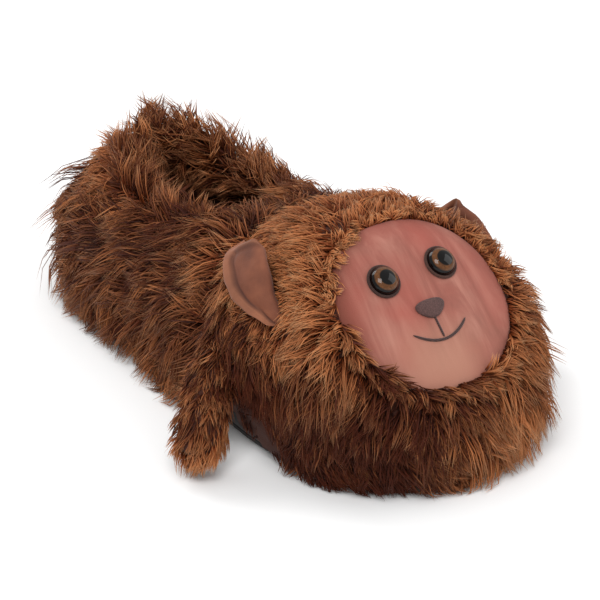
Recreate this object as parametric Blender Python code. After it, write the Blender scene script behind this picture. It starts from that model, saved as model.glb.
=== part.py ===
# Shaggy animal slipper for the right foot, as separate pieces at their real size.
# Metres, +Z up. The toe points to -Y, the heel to +Y and the wearer's outer side is -X.
# The origin is on the floor, under the middle of the sole's length.

import math

import bmesh
import bpy
import numpy as np

# Sole
SOLE_LENGTH = 0.288
BALL_WIDTH = 0.118
OUTSOLE_THICK = 0.003
MIDSOLE_THICK = 0.011
SIDE_BULGE = 0.0015
OUTSOLE_INSET = 0.0015
ARCH_LIFT = 0.0012
TOE_SPRING = 0.004
HEEL_CAP = 0.048
TOE_CAP = 0.062
INSOLE_THICK = 0.006
INSOLE_INSET = 0.0032
INSOLE_ROUND = 0.001

# Upper
UPPER_WALL = 0.006
UPPER_GROW = 0.004
COLLAR_LENGTH = 0.116
COLLAR_WIDTH = 0.070
COLLAR_BACK_SET = 0.032
COLLAR_HEIGHT = 0.0624
HEEL_RISE = 0.015
THROAT_RISE = 0.007
HEEL_BULGE = 0.006
HEEL_CURL = 2.4
TOE_ROUND = 2.3
RIM_ROUND = 0.0012

# Head: its centre is set back from the sole's toe end and up from the sole's top, and its back
# stops short of the collar's front end
HEAD_SET_BACK = 0.070
HEAD_LIFT = 0.0354
HEAD_HALF_WIDTH = 0.072
HEAD_TAPER = 0.20
HEAD_FRONT = 0.086
HEAD_TO_COLLAR = 0.014
HEAD_RISE = 0.062
HEAD_DROP = 0.085
SKIRT_HEIGHT = 0.004
SKIRT_RISE = 0.016
FACE_SLOPE = math.radians(46)
FACE_DEPTH = 0.055
FACE_AIM = math.radians(42)
FACE_WIDTH = 0.100
FACE_HEIGHT = 0.098
FACE_PANEL_THICK = 0.0022

# Fur locks: how far the tip stands off the cloth, how far it leans along it, and how low it hangs
LOCK_LENGTH = 0.012
LOCK_LEAN = 0.010
LOCK_FLOOR = 0.0045
LOCK_SPREAD = 0.15

# Ears
EAR_WIDTH = 0.025
EAR_THICK = 0.012
EAR_CUP = 0.003
LEFT_EAR_OUT = 0.003
LEFT_EAR_FORWARD = 0.008
LEFT_EAR_LOWER = 0.009

# Eyes
EYE_DIAMETER = 0.015
EYE_HEIGHT = 0.006
EYE_SPACING = 0.034
EYE_RISE = 0.010

# Arms
ARM_WIDTH = 0.023
ARM_LOCK = 0.004
ARM_LEAN = 0.005
ARM_FLOOR = 0.0015

GAP = 0.0003
CUTTER_REACH = 0.03
SHARP_FOLD = math.radians(50)

# Share of the length from the heel, then the outer and inner half widths as shares of the ball width
SOLE_SECTIONS = [
    {"share": 0.00, "outer": 0.36, "inner": 0.36},
    {"share": 0.18, "outer": 0.37, "inner": 0.36},
    {"share": 0.40, "outer": 0.41, "inner": 0.34},
    {"share": 0.56, "outer": 0.47, "inner": 0.41},
    {"share": 0.72, "outer": 0.51, "inner": 0.49},
    {"share": 0.86, "outer": 0.48, "inner": 0.50},
    {"share": 1.00, "outer": 0.42, "inner": 0.46},
]

# Middle line of one ear, from the root to the tip: across as a share of the head's half width, back
# from its centre as a share of its depth behind, up as a share of its rise, and the width's share
EAR_PATH = [
    {"across": 0.760, "back": 0.390, "up": 0.840, "width": 0.56},
    {"across": 0.840, "back": 0.300, "up": 0.820, "width": 0.96},
    {"across": 0.900, "back": 0.160, "up": 0.740, "width": 1.00},
    {"across": 0.920, "back": -0.010, "up": 0.630, "width": 0.84},
    {"across": 0.900, "back": -0.190, "up": 0.520, "width": 0.48},
]

# Middle line of one arm, by the same columns: it hangs from the head's side down to the floor
ARM_PATH = [
    {"across": 0.722, "back": 0.656, "up": 0.065, "width": 0.94},
    {"across": 0.917, "back": 0.500, "up": 0.016, "width": 1.00},
    {"across": 1.210, "back": 0.220, "up": -0.210, "width": 1.02},
    {"across": 1.400, "back": 0.040, "up": -0.590, "width": 1.06},
]

# Rings of an eye's dome, as shares of its height and of its radius
EYE_SECTIONS = [
    {"rise": 0.00, "width": 0.93},
    {"rise": 0.14, "width": 1.00},
    {"rise": 0.40, "width": 0.95},
    {"rise": 0.68, "width": 0.76},
    {"rise": 0.90, "width": 0.44},
]

# Rings of the midsole's side, as shares of its thickness and of its bulge
MIDSOLE_SECTIONS = [
    {"rise": 0.00, "bulge": -0.6},
    {"rise": 0.12, "bulge": 0.3},
    {"rise": 0.50, "bulge": 1.0},
    {"rise": 0.88, "bulge": 0.3},
    {"rise": 1.00, "bulge": -0.6},
]

OUTLINE_POINTS = 360
COLUMNS = 92
UPPER_ROWS = 12
RINGS = 20
SPOKES = 60
ARM_COLUMNS = 16
ARM_RINGS = 12
EAR_COLUMNS = 16
EAR_RINGS = 10
EYE_COLUMNS = 24

UPPER_BASE = OUTSOLE_THICK + MIDSOLE_THICK + 2 * GAP
HEAD_CENTRE = np.array([0.0, HEAD_SET_BACK - SOLE_LENGTH / 2, UPPER_BASE + HEAD_LIFT])
HEAD_BACK = SOLE_LENGTH - COLLAR_BACK_SET - COLLAR_LENGTH - HEAD_SET_BACK - HEAD_TO_COLLAR
FACE_NORMAL = np.array([0.0, -math.cos(FACE_SLOPE), math.sin(FACE_SLOPE)])
FACE_AXIS = np.array([0.0, -math.cos(FACE_AIM), math.sin(FACE_AIM)])
FACE_UP = np.array([0.0, math.sin(FACE_AIM), math.cos(FACE_AIM)])
FACE_SIDE = np.array([1.0, 0.0, 0.0])


def table_value(rows, column, share, key="share"):
    """Smooth curve through one column of a table."""
    shares = np.array([row[key] for row in rows])
    values = np.array([row[column] for row in rows])
    slopes = np.gradient(values, shares)
    share = np.clip(share, shares[0], shares[-1])
    i = np.clip(np.searchsorted(shares, share, side="right") - 1, 0, len(shares) - 2)
    span = shares[i + 1] - shares[i]
    t = (share - shares[i]) / span
    start = (1 + 2 * t) * (1 - t) ** 2 * values[i] + t * (1 - t) ** 2 * span * slopes[i]
    end = t**2 * (3 - 2 * t) * values[i + 1] + t**2 * (t - 1) * span * slopes[i + 1]
    return start + end


def ease(low, high, value):
    """0 before low and 1 after high, with a smooth step between."""
    t = np.clip((value - low) / (high - low), 0, 1)
    return t * t * (3 - 2 * t)


def unit(vectors):
    return vectors / np.maximum(np.linalg.norm(vectors, axis=-1), 1e-12)[..., None]


def evenly(points, count, closed=False):
    """The same line with count points at equal distances along it."""
    if closed:
        points = np.vstack([points, points[:1]])
    steps = np.linalg.norm(np.diff(points, axis=0), axis=1)
    run = np.concatenate([[0], np.cumsum(steps)])
    wanted = np.linspace(0, run[-1], count + 1)[:count] if closed else np.linspace(0, run[-1], count)
    return np.stack([np.interp(wanted, run, points[:, k]) for k in range(points.shape[1])], 1)


def heel_share(y):
    """Share of the sole's length from the heel at this y."""
    return 0.5 - y / SOLE_LENGTH


def sole_side(share, side):
    """Distance from the centre line to the sole's edge, with round ends."""
    half = table_value(SOLE_SECTIONS, side, share) * BALL_WIDTH
    heel = np.clip(1 - share * SOLE_LENGTH / HEEL_CAP, 0, 1)
    toe = np.clip(1 - (1 - share) * SOLE_LENGTH / TOE_CAP, 0, 1)
    return half * np.sqrt(1 - heel**2) * np.sqrt(1 - toe**2.2)


def sole_outline(grow=0.0, count=COLUMNS):
    """Closed outline from the heel's back round the outer side to the toe, grown outwards."""
    share = (1 - np.cos(np.linspace(0, math.pi, OUTLINE_POINTS // 2 + 1))) / 2
    y = SOLE_LENGTH * (0.5 - share)
    outer = np.stack([-sole_side(share, "outer"), y], 1)
    inner = np.stack([sole_side(share, "inner"), y], 1)[::-1][1:-1]
    line = evenly(np.vstack([outer, inner]), OUTLINE_POINTS, closed=True)
    along = np.roll(line, -1, axis=0) - np.roll(line, 1, axis=0)
    away = unit(np.stack([-along[:, 1], along[:, 0]], 1))
    return evenly(line - grow * away, count, closed=True)


def sole_lift(y):
    """Height of the sole's underside: flat heel and forefoot, slight arch and toe spring."""
    share = heel_share(y)
    arch = np.sin(math.pi * np.clip((share - 0.26) / 0.21, 0, 1)) ** 2
    return ARCH_LIFT * arch + TOE_SPRING * np.clip((share - 0.82) / 0.18, 0, 1.2) ** 1.6


def sole_ring(grow, height):
    """One ring of a sole layer at a height above the underside."""
    line = sole_outline(grow)
    return np.column_stack([line, sole_lift(line[:, 1]) + height])


def collar_loop(turn):
    """Points of the collar's edge for shares of the way round, from the heel's back."""
    half = np.where(turn <= 0.5, 2 * turn, 2 * (1 - turn))
    angle = math.pi * (0.6 * (1 - (1 - half) ** 2) + 0.4 * half)
    side = np.where(turn <= 0.5, -1, 1)
    back = SOLE_LENGTH / 2 - COLLAR_BACK_SET
    y = back - COLLAR_LENGTH / 2 * (1 - np.cos(angle))
    x = side * COLLAR_WIDTH / 2 * np.sin(angle) ** 0.9
    rise = HEEL_RISE + (THROAT_RISE - HEEL_RISE) * ease(0, math.pi, angle)
    height = COLLAR_HEIGHT + rise * np.cos(angle) ** 2
    return np.stack([x, y, UPPER_BASE + height], 1), angle


def upper_grid(rows=UPPER_ROWS):
    """Smooth outer face of the upper: one line a column, from the sole's edge up to the collar."""
    low = sole_ring(UPPER_GROW, UPPER_BASE)
    high, angle = collar_loop(np.arange(COLUMNS) / COLUMNS)
    over = ease(math.radians(45), math.radians(150), angle)[:, None]
    t = np.linspace(0, 1, 60)[None, :]
    quarter = t * math.pi / 2
    across = (1 - over) * t**HEEL_CURL + over * (1 - np.cos(quarter) ** (2 / TOE_ROUND))
    rise = (1 - over) * t + over * np.sin(quarter) ** (2 / TOE_ROUND)
    step = high - low
    lines = low[:, None, :] + np.stack([across * step[:, :1], across * step[:, 1:2], rise * step[:, 2:]], 2)
    middle = np.clip(low[:, 1], 0, 0.3 * SOLE_LENGTH)
    away = unit(low[:, :2] - np.column_stack([np.zeros(COLUMNS), middle]))
    bulge = HEEL_BULGE * np.sin(t * math.pi) * (1 - over)
    lines[:, :, :2] += bulge[:, :, None] * away[:, None, :]
    return np.stack([evenly(line, rows + 1) for line in lines])


def grid_normals(grid):
    """Unit normals of a closed grid of columns and rows, pointing out."""
    along = np.roll(grid, -1, axis=0) - np.roll(grid, 1, axis=0)
    up = np.gradient(grid, axis=1)
    return unit(np.cross(along, up))


def head_radius(direction):
    """Distance from the head's centre to its cloth: a rounded box with a sloping face and a narrower top."""
    x, y, z = direction[..., 0], direction[..., 1], direction[..., 2]
    depth = np.where(y < 0, HEAD_FRONT, HEAD_BACK)
    height = np.where(z > 0, HEAD_RISE, HEAD_DROP)
    half = HEAD_HALF_WIDTH * (1 - HEAD_TAPER * np.maximum(z, 0) ** 2)
    level = (np.abs(x / half) ** 2.2 + np.abs(y / depth) ** 2.2) ** (1 / 2.2)
    body = (level**2.5 + np.abs(z / height) ** 2.5) ** (1 / 2.5)
    face = np.maximum(direction @ FACE_NORMAL, 0) / FACE_DEPTH
    return (body**9 + face**9) ** (-1 / 9)


def on_head(direction, out=0.0):
    """Point on the head's cloth along a direction, moved out by a distance."""
    return HEAD_CENTRE + direction * (head_radius(direction) + out)[..., None]


def head_depth(points):
    """How far points are outside the head's cloth, along the line from its centre."""
    step = points - HEAD_CENTRE
    far = np.linalg.norm(step, axis=-1)
    return far - head_radius(unit(step))


def face_direction(angle, turn):
    """Unit direction at an angle from the face's axis, turned round it from the wearer's left."""
    across = np.cos(turn)[..., None] * FACE_SIDE + np.sin(turn)[..., None] * FACE_UP
    return np.cos(angle)[..., None] * FACE_AXIS + np.sin(angle)[..., None] * across


def face_angle(turn):
    """Angle from the face's axis to the panel's edge: an oval, a little square."""
    wide = np.abs(np.cos(turn) / (FACE_WIDTH / 2)) ** 2.3
    tall = np.abs(np.sin(turn) / (FACE_HEIGHT / 2)) ** 2.3
    return np.arctan((wide + tall) ** (-1 / 2.3) / FACE_DEPTH)


def head_directions():
    """Directions of the head's grid: spokes round the face, rings from its middle to the back."""
    turn = np.arange(SPOKES) / SPOKES * 2 * math.pi
    edge = face_angle(turn)[:, None]
    inside = np.array([0.35, 0.7])[None, :] * edge
    outside = edge + (math.radians(170) - edge) * np.linspace(0, 1, RINGS + 1)[None, :]
    angle = np.concatenate([inside, outside], axis=1)
    return face_direction(angle, np.broadcast_to(turn[:, None], angle.shape))


def path_points(rows, side, count):
    """Even points along a table's middle line on one side, with the width's share.

    The left ear sits lower than the right one, further out and further forward.
    """
    marks = [{**row, "share": k / (len(rows) - 1)} for k, row in enumerate(rows)]
    share = np.linspace(0, 1, 80)
    across, back, up, width = [
        table_value(marks, column, share) for column in ("across", "back", "up", "width")
    ]
    step = np.stack([side * across * HEAD_HALF_WIDTH, back * HEAD_BACK, up * HEAD_RISE], 1)
    if rows is EAR_PATH and side > 0:
        step = step + np.array([LEFT_EAR_OUT, -LEFT_EAR_FORWARD, -LEFT_EAR_LOWER])
    line = evenly(np.column_stack([HEAD_CENTRE + step, width]), count)
    return line[:, :3], line[:, 3]


def clear_of(points, rows, width, low, high):
    """0 beside both ears or arms, 1 away from them: low and high are lock lengths past their sides."""
    share = np.ones(points.shape[:-1])
    for side in (-1, 1):
        line = path_points(rows, side, 24)[0]
        away = np.linalg.norm(points[..., None, :] - line, axis=-1).min(axis=-1)
        share = share * ease(width / 2 + low * LOCK_LENGTH, width / 2 + high * LOCK_LENGTH, away)
    return share


def lock_centres(columns, rows, first=0):
    """Which grid points are lock tips: every second one, laid like bricks."""
    i = np.arange(columns)[:, None]
    j = np.arange(rows + 1)[None, :]
    band = (j - first - 1) // 2
    return (j > first) & (j < rows) & ((j - first) % 2 == 1) & ((i + band) % 2 == 1)


def lock_faces(columns, rows, tips, start=0):
    """Two triangles for each grid cell, split through the lock tip where it has one."""
    faces = []
    for i in range(columns):
        k = (i + 1) % columns
        for j in range(rows):
            a = start + i * (rows + 1) + j
            b = start + k * (rows + 1) + j
            c, d = b + 1, a + 1
            if tips[i, j] or tips[k, j + 1]:
                faces += [(a, b, c), (a, c, d)]
            else:
                faces += [(a, b, d), (b, c, d)]
    return faces


def tidy_mesh(obj):
    """Turns all faces outwards and keeps the largest closed body."""
    work = bmesh.new()
    work.from_mesh(obj.data)
    bmesh.ops.remove_doubles(work, verts=work.verts, dist=0.00002)
    left = set(work.verts)
    bodies = []
    while left:
        seed = left.pop()
        body = {seed}
        stack = [seed]
        while stack:
            for edge in stack.pop().link_edges:
                for vert in edge.verts:
                    if vert in left:
                        left.discard(vert)
                        body.add(vert)
                        stack.append(vert)
        bodies.append(body)
    bodies.sort(key=len)
    for body in bodies[:-1]:
        bmesh.ops.delete(work, geom=list(body), context="VERTS")
    bmesh.ops.recalc_face_normals(work, faces=work.faces)
    work.to_mesh(obj.data)
    work.free()
    obj.data.update()
    obj.data.shade_smooth()
    obj.data.set_sharp_from_angle(angle=SHARP_FOLD)


def mesh_object(name, points, faces):
    """A named object from points and faces."""
    mesh = bpy.data.meshes.new(name)
    mesh.from_pydata([tuple(p) for p in points], [], [tuple(f) for f in faces])
    mesh.update()
    obj = bpy.data.objects.new(name, mesh)
    bpy.context.scene.collection.objects.link(obj)
    tidy_mesh(obj)
    return obj


def ring_faces(columns, first, second):
    """Quads between two rings that start at these indices."""
    return [
        (first + i, first + (i + 1) % columns, second + (i + 1) % columns, second + i)
        for i in range(columns)
    ]


def strip_cap(count, first):
    """Triangles that close a ring from side to side, from its first point to the opposite one."""
    faces = [(first, first + 1, first + count - 1)]
    for i in range(1, count // 2):
        left, right = first + i, first + count - i
        faces.append((left, left + 1, right))
        if right - left > 2:
            faces.append((left + 1, right - 1, right))
    return faces


def loft(name, rings, ends=(None, None)):
    """A closed solid through rings of equal length, with a point or a flat cap at each end."""
    count = len(rings[0])
    points = np.vstack(rings)
    faces = []
    for k in range(len(rings) - 1):
        faces += ring_faces(count, k * count, (k + 1) * count)
    for ring, end in ((0, ends[0]), (len(rings) - 1, ends[1])):
        first = ring * count
        if end is None:
            faces += strip_cap(count, first)
        else:
            points = np.vstack([points, [end]])
            tip = len(points) - 1
            faces += [(first + i, first + (i + 1) % count, tip) for i in range(count)]
    return mesh_object(name, points, faces)


def cut(obj, cutter):
    """Takes the cutter's space out of the object."""
    cutter.hide_render = True
    cutter.display_type = "WIRE"
    modifier = obj.modifiers.new("cut", "BOOLEAN")
    modifier.operation = "DIFFERENCE"
    modifier.solver = "EXACT"
    modifier.object = cutter
    graph = bpy.context.evaluated_depsgraph_get()
    done = bpy.data.meshes.new_from_object(obj.evaluated_get(graph))
    obj.modifiers.clear()
    obj.data = done
    tidy_mesh(obj)


def paint(obj, colour, roughness):
    """Gives the object a plain material of its own."""
    made = bpy.data.materials.new(obj.name)
    made.use_nodes = True
    shader = made.node_tree.nodes["Principled BSDF"]
    shader.inputs["Base Color"].default_value = (*colour, 1)
    shader.inputs["Roughness"].default_value = roughness
    obj.data.materials.clear()
    obj.data.materials.append(made)
    return obj


def make_sole():
    """Outsole, wrapped midsole and insole."""
    low = sole_ring(-OUTSOLE_INSET, 0)
    side = sole_ring(0, 0.4 * OUTSOLE_THICK)
    top = sole_ring(0, OUTSOLE_THICK)
    outsole = loft("outsole", [low, side, top])
    paint(outsole, (0.006, 0.005, 0.005), 0.8)
    base = OUTSOLE_THICK + GAP
    rings = [
        sole_ring(row["bulge"] * SIDE_BULGE, base + row["rise"] * MIDSOLE_THICK)
        for row in MIDSOLE_SECTIONS
    ]
    paint(loft("midsole", rings), (0.012, 0.008, 0.006), 0.9)
    grow = UPPER_GROW - UPPER_WALL - INSOLE_INSET
    rings = [
        sole_ring(grow - INSOLE_ROUND * inset, UPPER_BASE + rise * INSOLE_THICK)
        for rise, inset in ((0, 0), (0.75, 0), (1, 1))
    ]
    paint(loft("insole", rings), (0.045, 0.018, 0.009), 0.9)


def lock_tips(points, normals, lay, scale, rng):
    """Lock tips over grid points: out along the normal and on along the lay."""
    size = scale * rng.uniform(1 - LOCK_SPREAD, 1 + LOCK_SPREAD, scale.shape)
    lean = lay - (lay * normals).sum(-1)[..., None] * normals
    tips = points + (LOCK_LENGTH * size)[..., None] * normals + (LOCK_LEAN * size)[..., None] * unit(lean)
    tips[..., 2] = np.maximum(tips[..., 2], np.minimum(points[..., 2], LOCK_FLOOR))
    return tips


def upper_lay(points):
    """Way the fur lies on the heel part: back and down, and out over the collar at the top."""
    share = (points[..., 2] - UPPER_BASE) / COLLAR_HEIGHT
    down = -1.0 + 1.5 * ease(0.45, 1.0, share)
    return np.stack([np.zeros_like(share), np.full_like(share, 0.7), down], -1)


def make_upper():
    """Hollow upper: outer face with fused locks, lining, and rims at the sole and the collar."""
    grid = upper_grid()
    normals = grid_normals(grid)
    tips = lock_centres(COLUMNS, UPPER_ROWS)
    scale = tips * ease(1.7 * LOCK_LENGTH, 2.9 * LOCK_LENGTH, head_depth(grid))
    scale = scale * clear_of(grid, ARM_PATH, ARM_WIDTH, 1.0, 2.4)
    scale = scale * clear_of(grid, EAR_PATH, EAR_WIDTH, 0.8, 1.8)
    outer = lock_tips(grid, normals, upper_lay(grid), scale, np.random.default_rng(3))
    lining = grid - UPPER_WALL * normals
    flat = normals[:, 0] * np.array([1, 1, 0])
    lining[:, 0] = grid[:, 0] - UPPER_WALL * unit(flat)
    lining = lining[:, ::2]
    rim = (outer[:, -1] + lining[:, -1]) / 2
    rim[:, 2] += RIM_ROUND
    rows = lining.shape[1]
    points = np.vstack([outer.reshape(-1, 3), lining.reshape(-1, 3), rim])
    faces = lock_faces(COLUMNS, UPPER_ROWS, tips)
    start = COLUMNS * (UPPER_ROWS + 1)
    plain = np.zeros((COLUMNS, rows), dtype=bool)
    faces += [face[::-1] for face in lock_faces(COLUMNS, rows - 1, plain, start)]
    top = start + COLUMNS * rows
    for i in range(COLUMNS):
        k = (i + 1) % COLUMNS
        a, b = i * (UPPER_ROWS + 1), k * (UPPER_ROWS + 1)
        c, d = start + i * rows, start + k * rows
        faces.append((b, a, c, d))
        faces.append((a + UPPER_ROWS, b + UPPER_ROWS, top + k, top + i))
        faces.append((top + i, top + k, d + rows - 1, c + rows - 1))
    obj = mesh_object("upper", points, faces)
    return paint(obj, (0.12, 0.045, 0.022), 0.95)


def upper_cutter(name):
    """The space of the foot, the upper and the sole under it, with a little room round it."""
    grid = upper_grid()
    grid = grid + GAP * grid_normals(grid)
    below = grid[:, 0].copy()
    below[:, 2] = -CUTTER_REACH
    faces = lock_faces(COLUMNS, UPPER_ROWS, lock_centres(COLUMNS, UPPER_ROWS))
    low = COLUMNS * (UPPER_ROWS + 1)
    for i in range(COLUMNS):
        k = (i + 1) % COLUMNS
        a, b = i * (UPPER_ROWS + 1), k * (UPPER_ROWS + 1)
        faces.append((a, b, low + k, low + i))
        faces.append((a + UPPER_ROWS, b + UPPER_ROWS, low + COLUMNS))
        faces.append((low + i, low + k, low + COLUMNS + 1))
    ends = np.array([grid[:, -1].mean(axis=0), [0, 0, -CUTTER_REACH]])
    return mesh_object(name, np.vstack([grid.reshape(-1, 3), below, ends]), faces)


def head_solid(name, out=0.0, locks=False):
    """The head's closed body, with its fur locks or grown by a little for a cutter."""
    direction = head_directions()
    points = on_head(direction, out)
    rows = points.shape[1] - 1
    tips = lock_centres(SPOKES, rows, 2)
    if locks:
        scale = tips * clear_of(points, ARM_PATH, ARM_WIDTH, 0.7, 1.9)
        scale = scale * clear_of(points, EAR_PATH, EAR_WIDTH, 0.2, 1.1)
        away = unit(direction - FACE_AXIS) + np.array([0, 0, -0.45])
        points = lock_tips(points, direction, away, scale, np.random.default_rng(5))
    faces = lock_faces(SPOKES, rows, tips)
    front = on_head(FACE_AXIS[None, :], out)
    back = on_head(-FACE_AXIS[None, :], out)
    count = SPOKES * (rows + 1)
    for i in range(SPOKES):
        k = (i + 1) % SPOKES
        faces.append((k * (rows + 1), i * (rows + 1), count))
        faces.append((i * (rows + 1) + rows, k * (rows + 1) + rows, count + 1))
    return mesh_object(name, np.vstack([points.reshape(-1, 3), front, back]), faces)


def make_head(foot_room):
    """Stuffed head that sits over the toe box and hangs round the sole, its skirt higher at the back."""
    head = head_solid("head", locks=True)
    cut(head, foot_room)
    line = sole_outline(HEAD_HALF_WIDTH, 48)
    low = np.full(len(line), HEAD_CENTRE[2] - HEAD_DROP - CUTTER_REACH)
    back = ease(-0.5, 0.7, (line[:, 1] - HEAD_CENTRE[1]) / HEAD_BACK)
    high = SKIRT_HEIGHT + SKIRT_RISE * back
    floor_room = loft("floor_room", [np.column_stack([line, height]) for height in (low, high)])
    cut(head, floor_room)
    bpy.data.objects.remove(floor_room)
    return paint(head, (0.16, 0.062, 0.03), 0.95)


def make_face_panel():
    """Thin velour panel over the front of the head."""
    turn = np.arange(SPOKES) / SPOKES * 2 * math.pi
    edge = face_angle(turn)
    rings = []
    for out, share in ((GAP, 0.35), (GAP, 0.7), (GAP, 0.975)):
        rings.append(on_head(face_direction(edge * share, turn), out))
    full = GAP + FACE_PANEL_THICK
    for out, share in ((full, 0.96), (full, 0.7), (full, 0.35)):
        rings.append(on_head(face_direction(edge * share, turn), out))
    ends = (on_head(FACE_AXIS, GAP), on_head(FACE_AXIS, full))
    return paint(loft("face_panel", rings, ends), (0.44, 0.18, 0.13), 0.85)


def make_eye(name, side):
    """Glossy domed eye with a flat back, on the panel."""
    direction = unit(FACE_AXIS * FACE_DEPTH + side * EYE_SPACING / 2 * FACE_SIDE + EYE_RISE * FACE_UP)
    spread = 0.5 * EYE_DIAMETER / FACE_DEPTH
    wide = on_head(unit(direction + spread * FACE_SIDE)) - on_head(unit(direction - spread * FACE_SIDE))
    tall = on_head(unit(direction + spread * FACE_UP)) - on_head(unit(direction - spread * FACE_UP))
    normal = unit(np.cross(wide, tall))
    right = unit(wide)
    up = np.cross(normal, right)
    turn = np.arange(EYE_COLUMNS) / EYE_COLUMNS * 2 * math.pi
    circle = EYE_DIAMETER / 2 * (np.cos(turn)[:, None] * right + np.sin(turn)[:, None] * up)
    seat = 2 * GAP + FACE_PANEL_THICK
    centre = on_head(direction, seat)
    back = np.vstack([centre[None, :], centre + circle])
    centre = centre + max(0.0, seat - head_depth(back).min()) * normal
    rings = [centre + row["rise"] * EYE_HEIGHT * normal + row["width"] * circle for row in EYE_SECTIONS]
    eye = loft(name, rings, (None, centre + EYE_HEIGHT * normal))
    return paint(eye, (0.02, 0.012, 0.006), 0.12)


def make_ear(name, side, head_room):
    """Soft stuffed ear with a rolled edge, seated on the head."""
    line, width = path_points(EAR_PATH, side, EAR_RINGS)
    along = unit(np.gradient(line, axis=0))
    out = line - HEAD_CENTRE
    out = unit(out - (out * along).sum(-1)[:, None] * along)
    across = np.cross(along, out)
    turn = np.arange(EAR_COLUMNS) / EAR_COLUMNS * 2 * math.pi
    c, s = np.cos(turn), np.sin(turn)
    rings = []
    for k in range(len(line)):
        half = EAR_WIDTH / 2 * width[k]
        flat = np.sign(c) * np.abs(c) ** 0.8 * half
        thick = s * EAR_THICK / 2 * (0.75 + 0.25 * width[k])
        cup = EAR_CUP * (c**2 - 0.35) * (s > 0.01)
        rings.append(line[k] + flat[:, None] * across[k] + (thick + cup)[:, None] * out[k])
    tip = line[-1] + along[-1] * 0.24 * EAR_WIDTH
    ear = loft(name, rings, (None, tip))
    cut(ear, head_room)
    return paint(ear, (0.33, 0.13, 0.075), 0.85)


def make_arm(name, side, head_room, foot_room):
    """Short furry arm that hangs from the side to the floor."""
    n, rings = ARM_COLUMNS, ARM_RINGS + 1
    line, width = path_points(ARM_PATH, side, rings)
    along = unit(np.gradient(line, axis=0))
    right = unit(np.cross(along, np.array([0.0, 0.0, 1.0])))
    up = np.cross(right, along)
    turn = np.arange(n) / n * 2 * math.pi
    normals = np.cos(turn)[:, None, None] * right + np.sin(turn)[:, None, None] * up
    radius = ARM_WIDTH / 2 * width
    points = line + radius[:, None] * normals
    tips = lock_centres(n, ARM_RINGS)
    points = np.where(tips[..., None], points + ARM_LOCK * normals + ARM_LEAN * along, points)
    shoulder = line[-1] + 0.62 * radius[-1] * normals[:, -1] + 0.6 * radius[-1] * along[-1]
    end = line[-1] + 0.8 * radius[-1] * along[-1]
    points = np.vstack([points.reshape(-1, 3), line[:1], shoulder, end])
    points[:, 2] = np.maximum(points[:, 2], ARM_FLOOR)
    faces = lock_faces(n, ARM_RINGS, tips)
    root = n * rings
    for i in range(n):
        k = (i + 1) % n
        faces.append((i * rings, k * rings, root))
        faces.append((i * rings + ARM_RINGS, k * rings + ARM_RINGS, root + 1 + k, root + 1 + i))
        faces.append((root + 1 + i, root + 1 + k, root + 1 + n))
    arm = mesh_object(name, points, faces)
    cut(arm, head_room)
    cut(arm, foot_room)
    return paint(arm, (0.15, 0.06, 0.03), 0.95)


def main():
    for obj in list(bpy.data.objects):
        bpy.data.objects.remove(obj)
    make_sole()
    make_upper()
    foot_room = upper_cutter("foot_room")
    head_room = head_solid("head_room", out=GAP)
    make_head(foot_room)
    make_face_panel()
    for name, side in (("right", -1), ("left", 1)):
        make_eye("eye_" + name, side)
        make_ear("ear_" + name, side, head_room)
        make_arm("arm_" + name, side, head_room, foot_room)
    bpy.data.objects.remove(foot_room)
    bpy.data.objects.remove(head_room)


main()
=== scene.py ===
import math

import bmesh
import bpy
import numpy as np
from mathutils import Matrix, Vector


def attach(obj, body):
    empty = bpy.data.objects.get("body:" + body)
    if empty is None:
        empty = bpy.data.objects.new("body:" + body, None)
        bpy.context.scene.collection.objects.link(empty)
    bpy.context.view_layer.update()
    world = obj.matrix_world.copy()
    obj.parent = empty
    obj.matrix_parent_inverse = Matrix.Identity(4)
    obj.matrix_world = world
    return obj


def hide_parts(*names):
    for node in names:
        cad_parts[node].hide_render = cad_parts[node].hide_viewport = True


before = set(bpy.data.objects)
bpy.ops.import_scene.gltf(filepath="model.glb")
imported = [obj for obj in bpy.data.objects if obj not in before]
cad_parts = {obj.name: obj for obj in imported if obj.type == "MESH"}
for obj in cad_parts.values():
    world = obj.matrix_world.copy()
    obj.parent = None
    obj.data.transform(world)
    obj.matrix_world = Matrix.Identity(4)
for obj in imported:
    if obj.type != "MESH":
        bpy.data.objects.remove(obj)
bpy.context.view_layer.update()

# Shaggy animal slipper for the right foot. Metres, Z up, toe to -Y, the outer side at -X.
# The sizes and curves below are those of the CAD, so every surface lies where its solid does.
slipper = {
    "soleLength": 0.288, "ballWidth": 0.118, "heelCap": 0.048, "toeCap": 0.062,
    "archFrom": 0.26, "archSpan": 0.21, "archLift": 0.0012,
    "springFrom": 0.82, "springSpan": 0.18, "toeSpring": 0.004,
    "outsole": 0.003, "midsole": 0.011, "gap": 0.0003,
    "grow": 0.004, "wall": 0.006, "heelBulge": 0.006, "heelCurl": 2.4, "toeRound": 2.3,
    "collarLength": 0.116, "collarWidth": 0.070, "collarBackSet": 0.032,
    "collarHeight": 0.0624, "heelRise": 0.015, "throatRise": 0.007,
}
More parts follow.
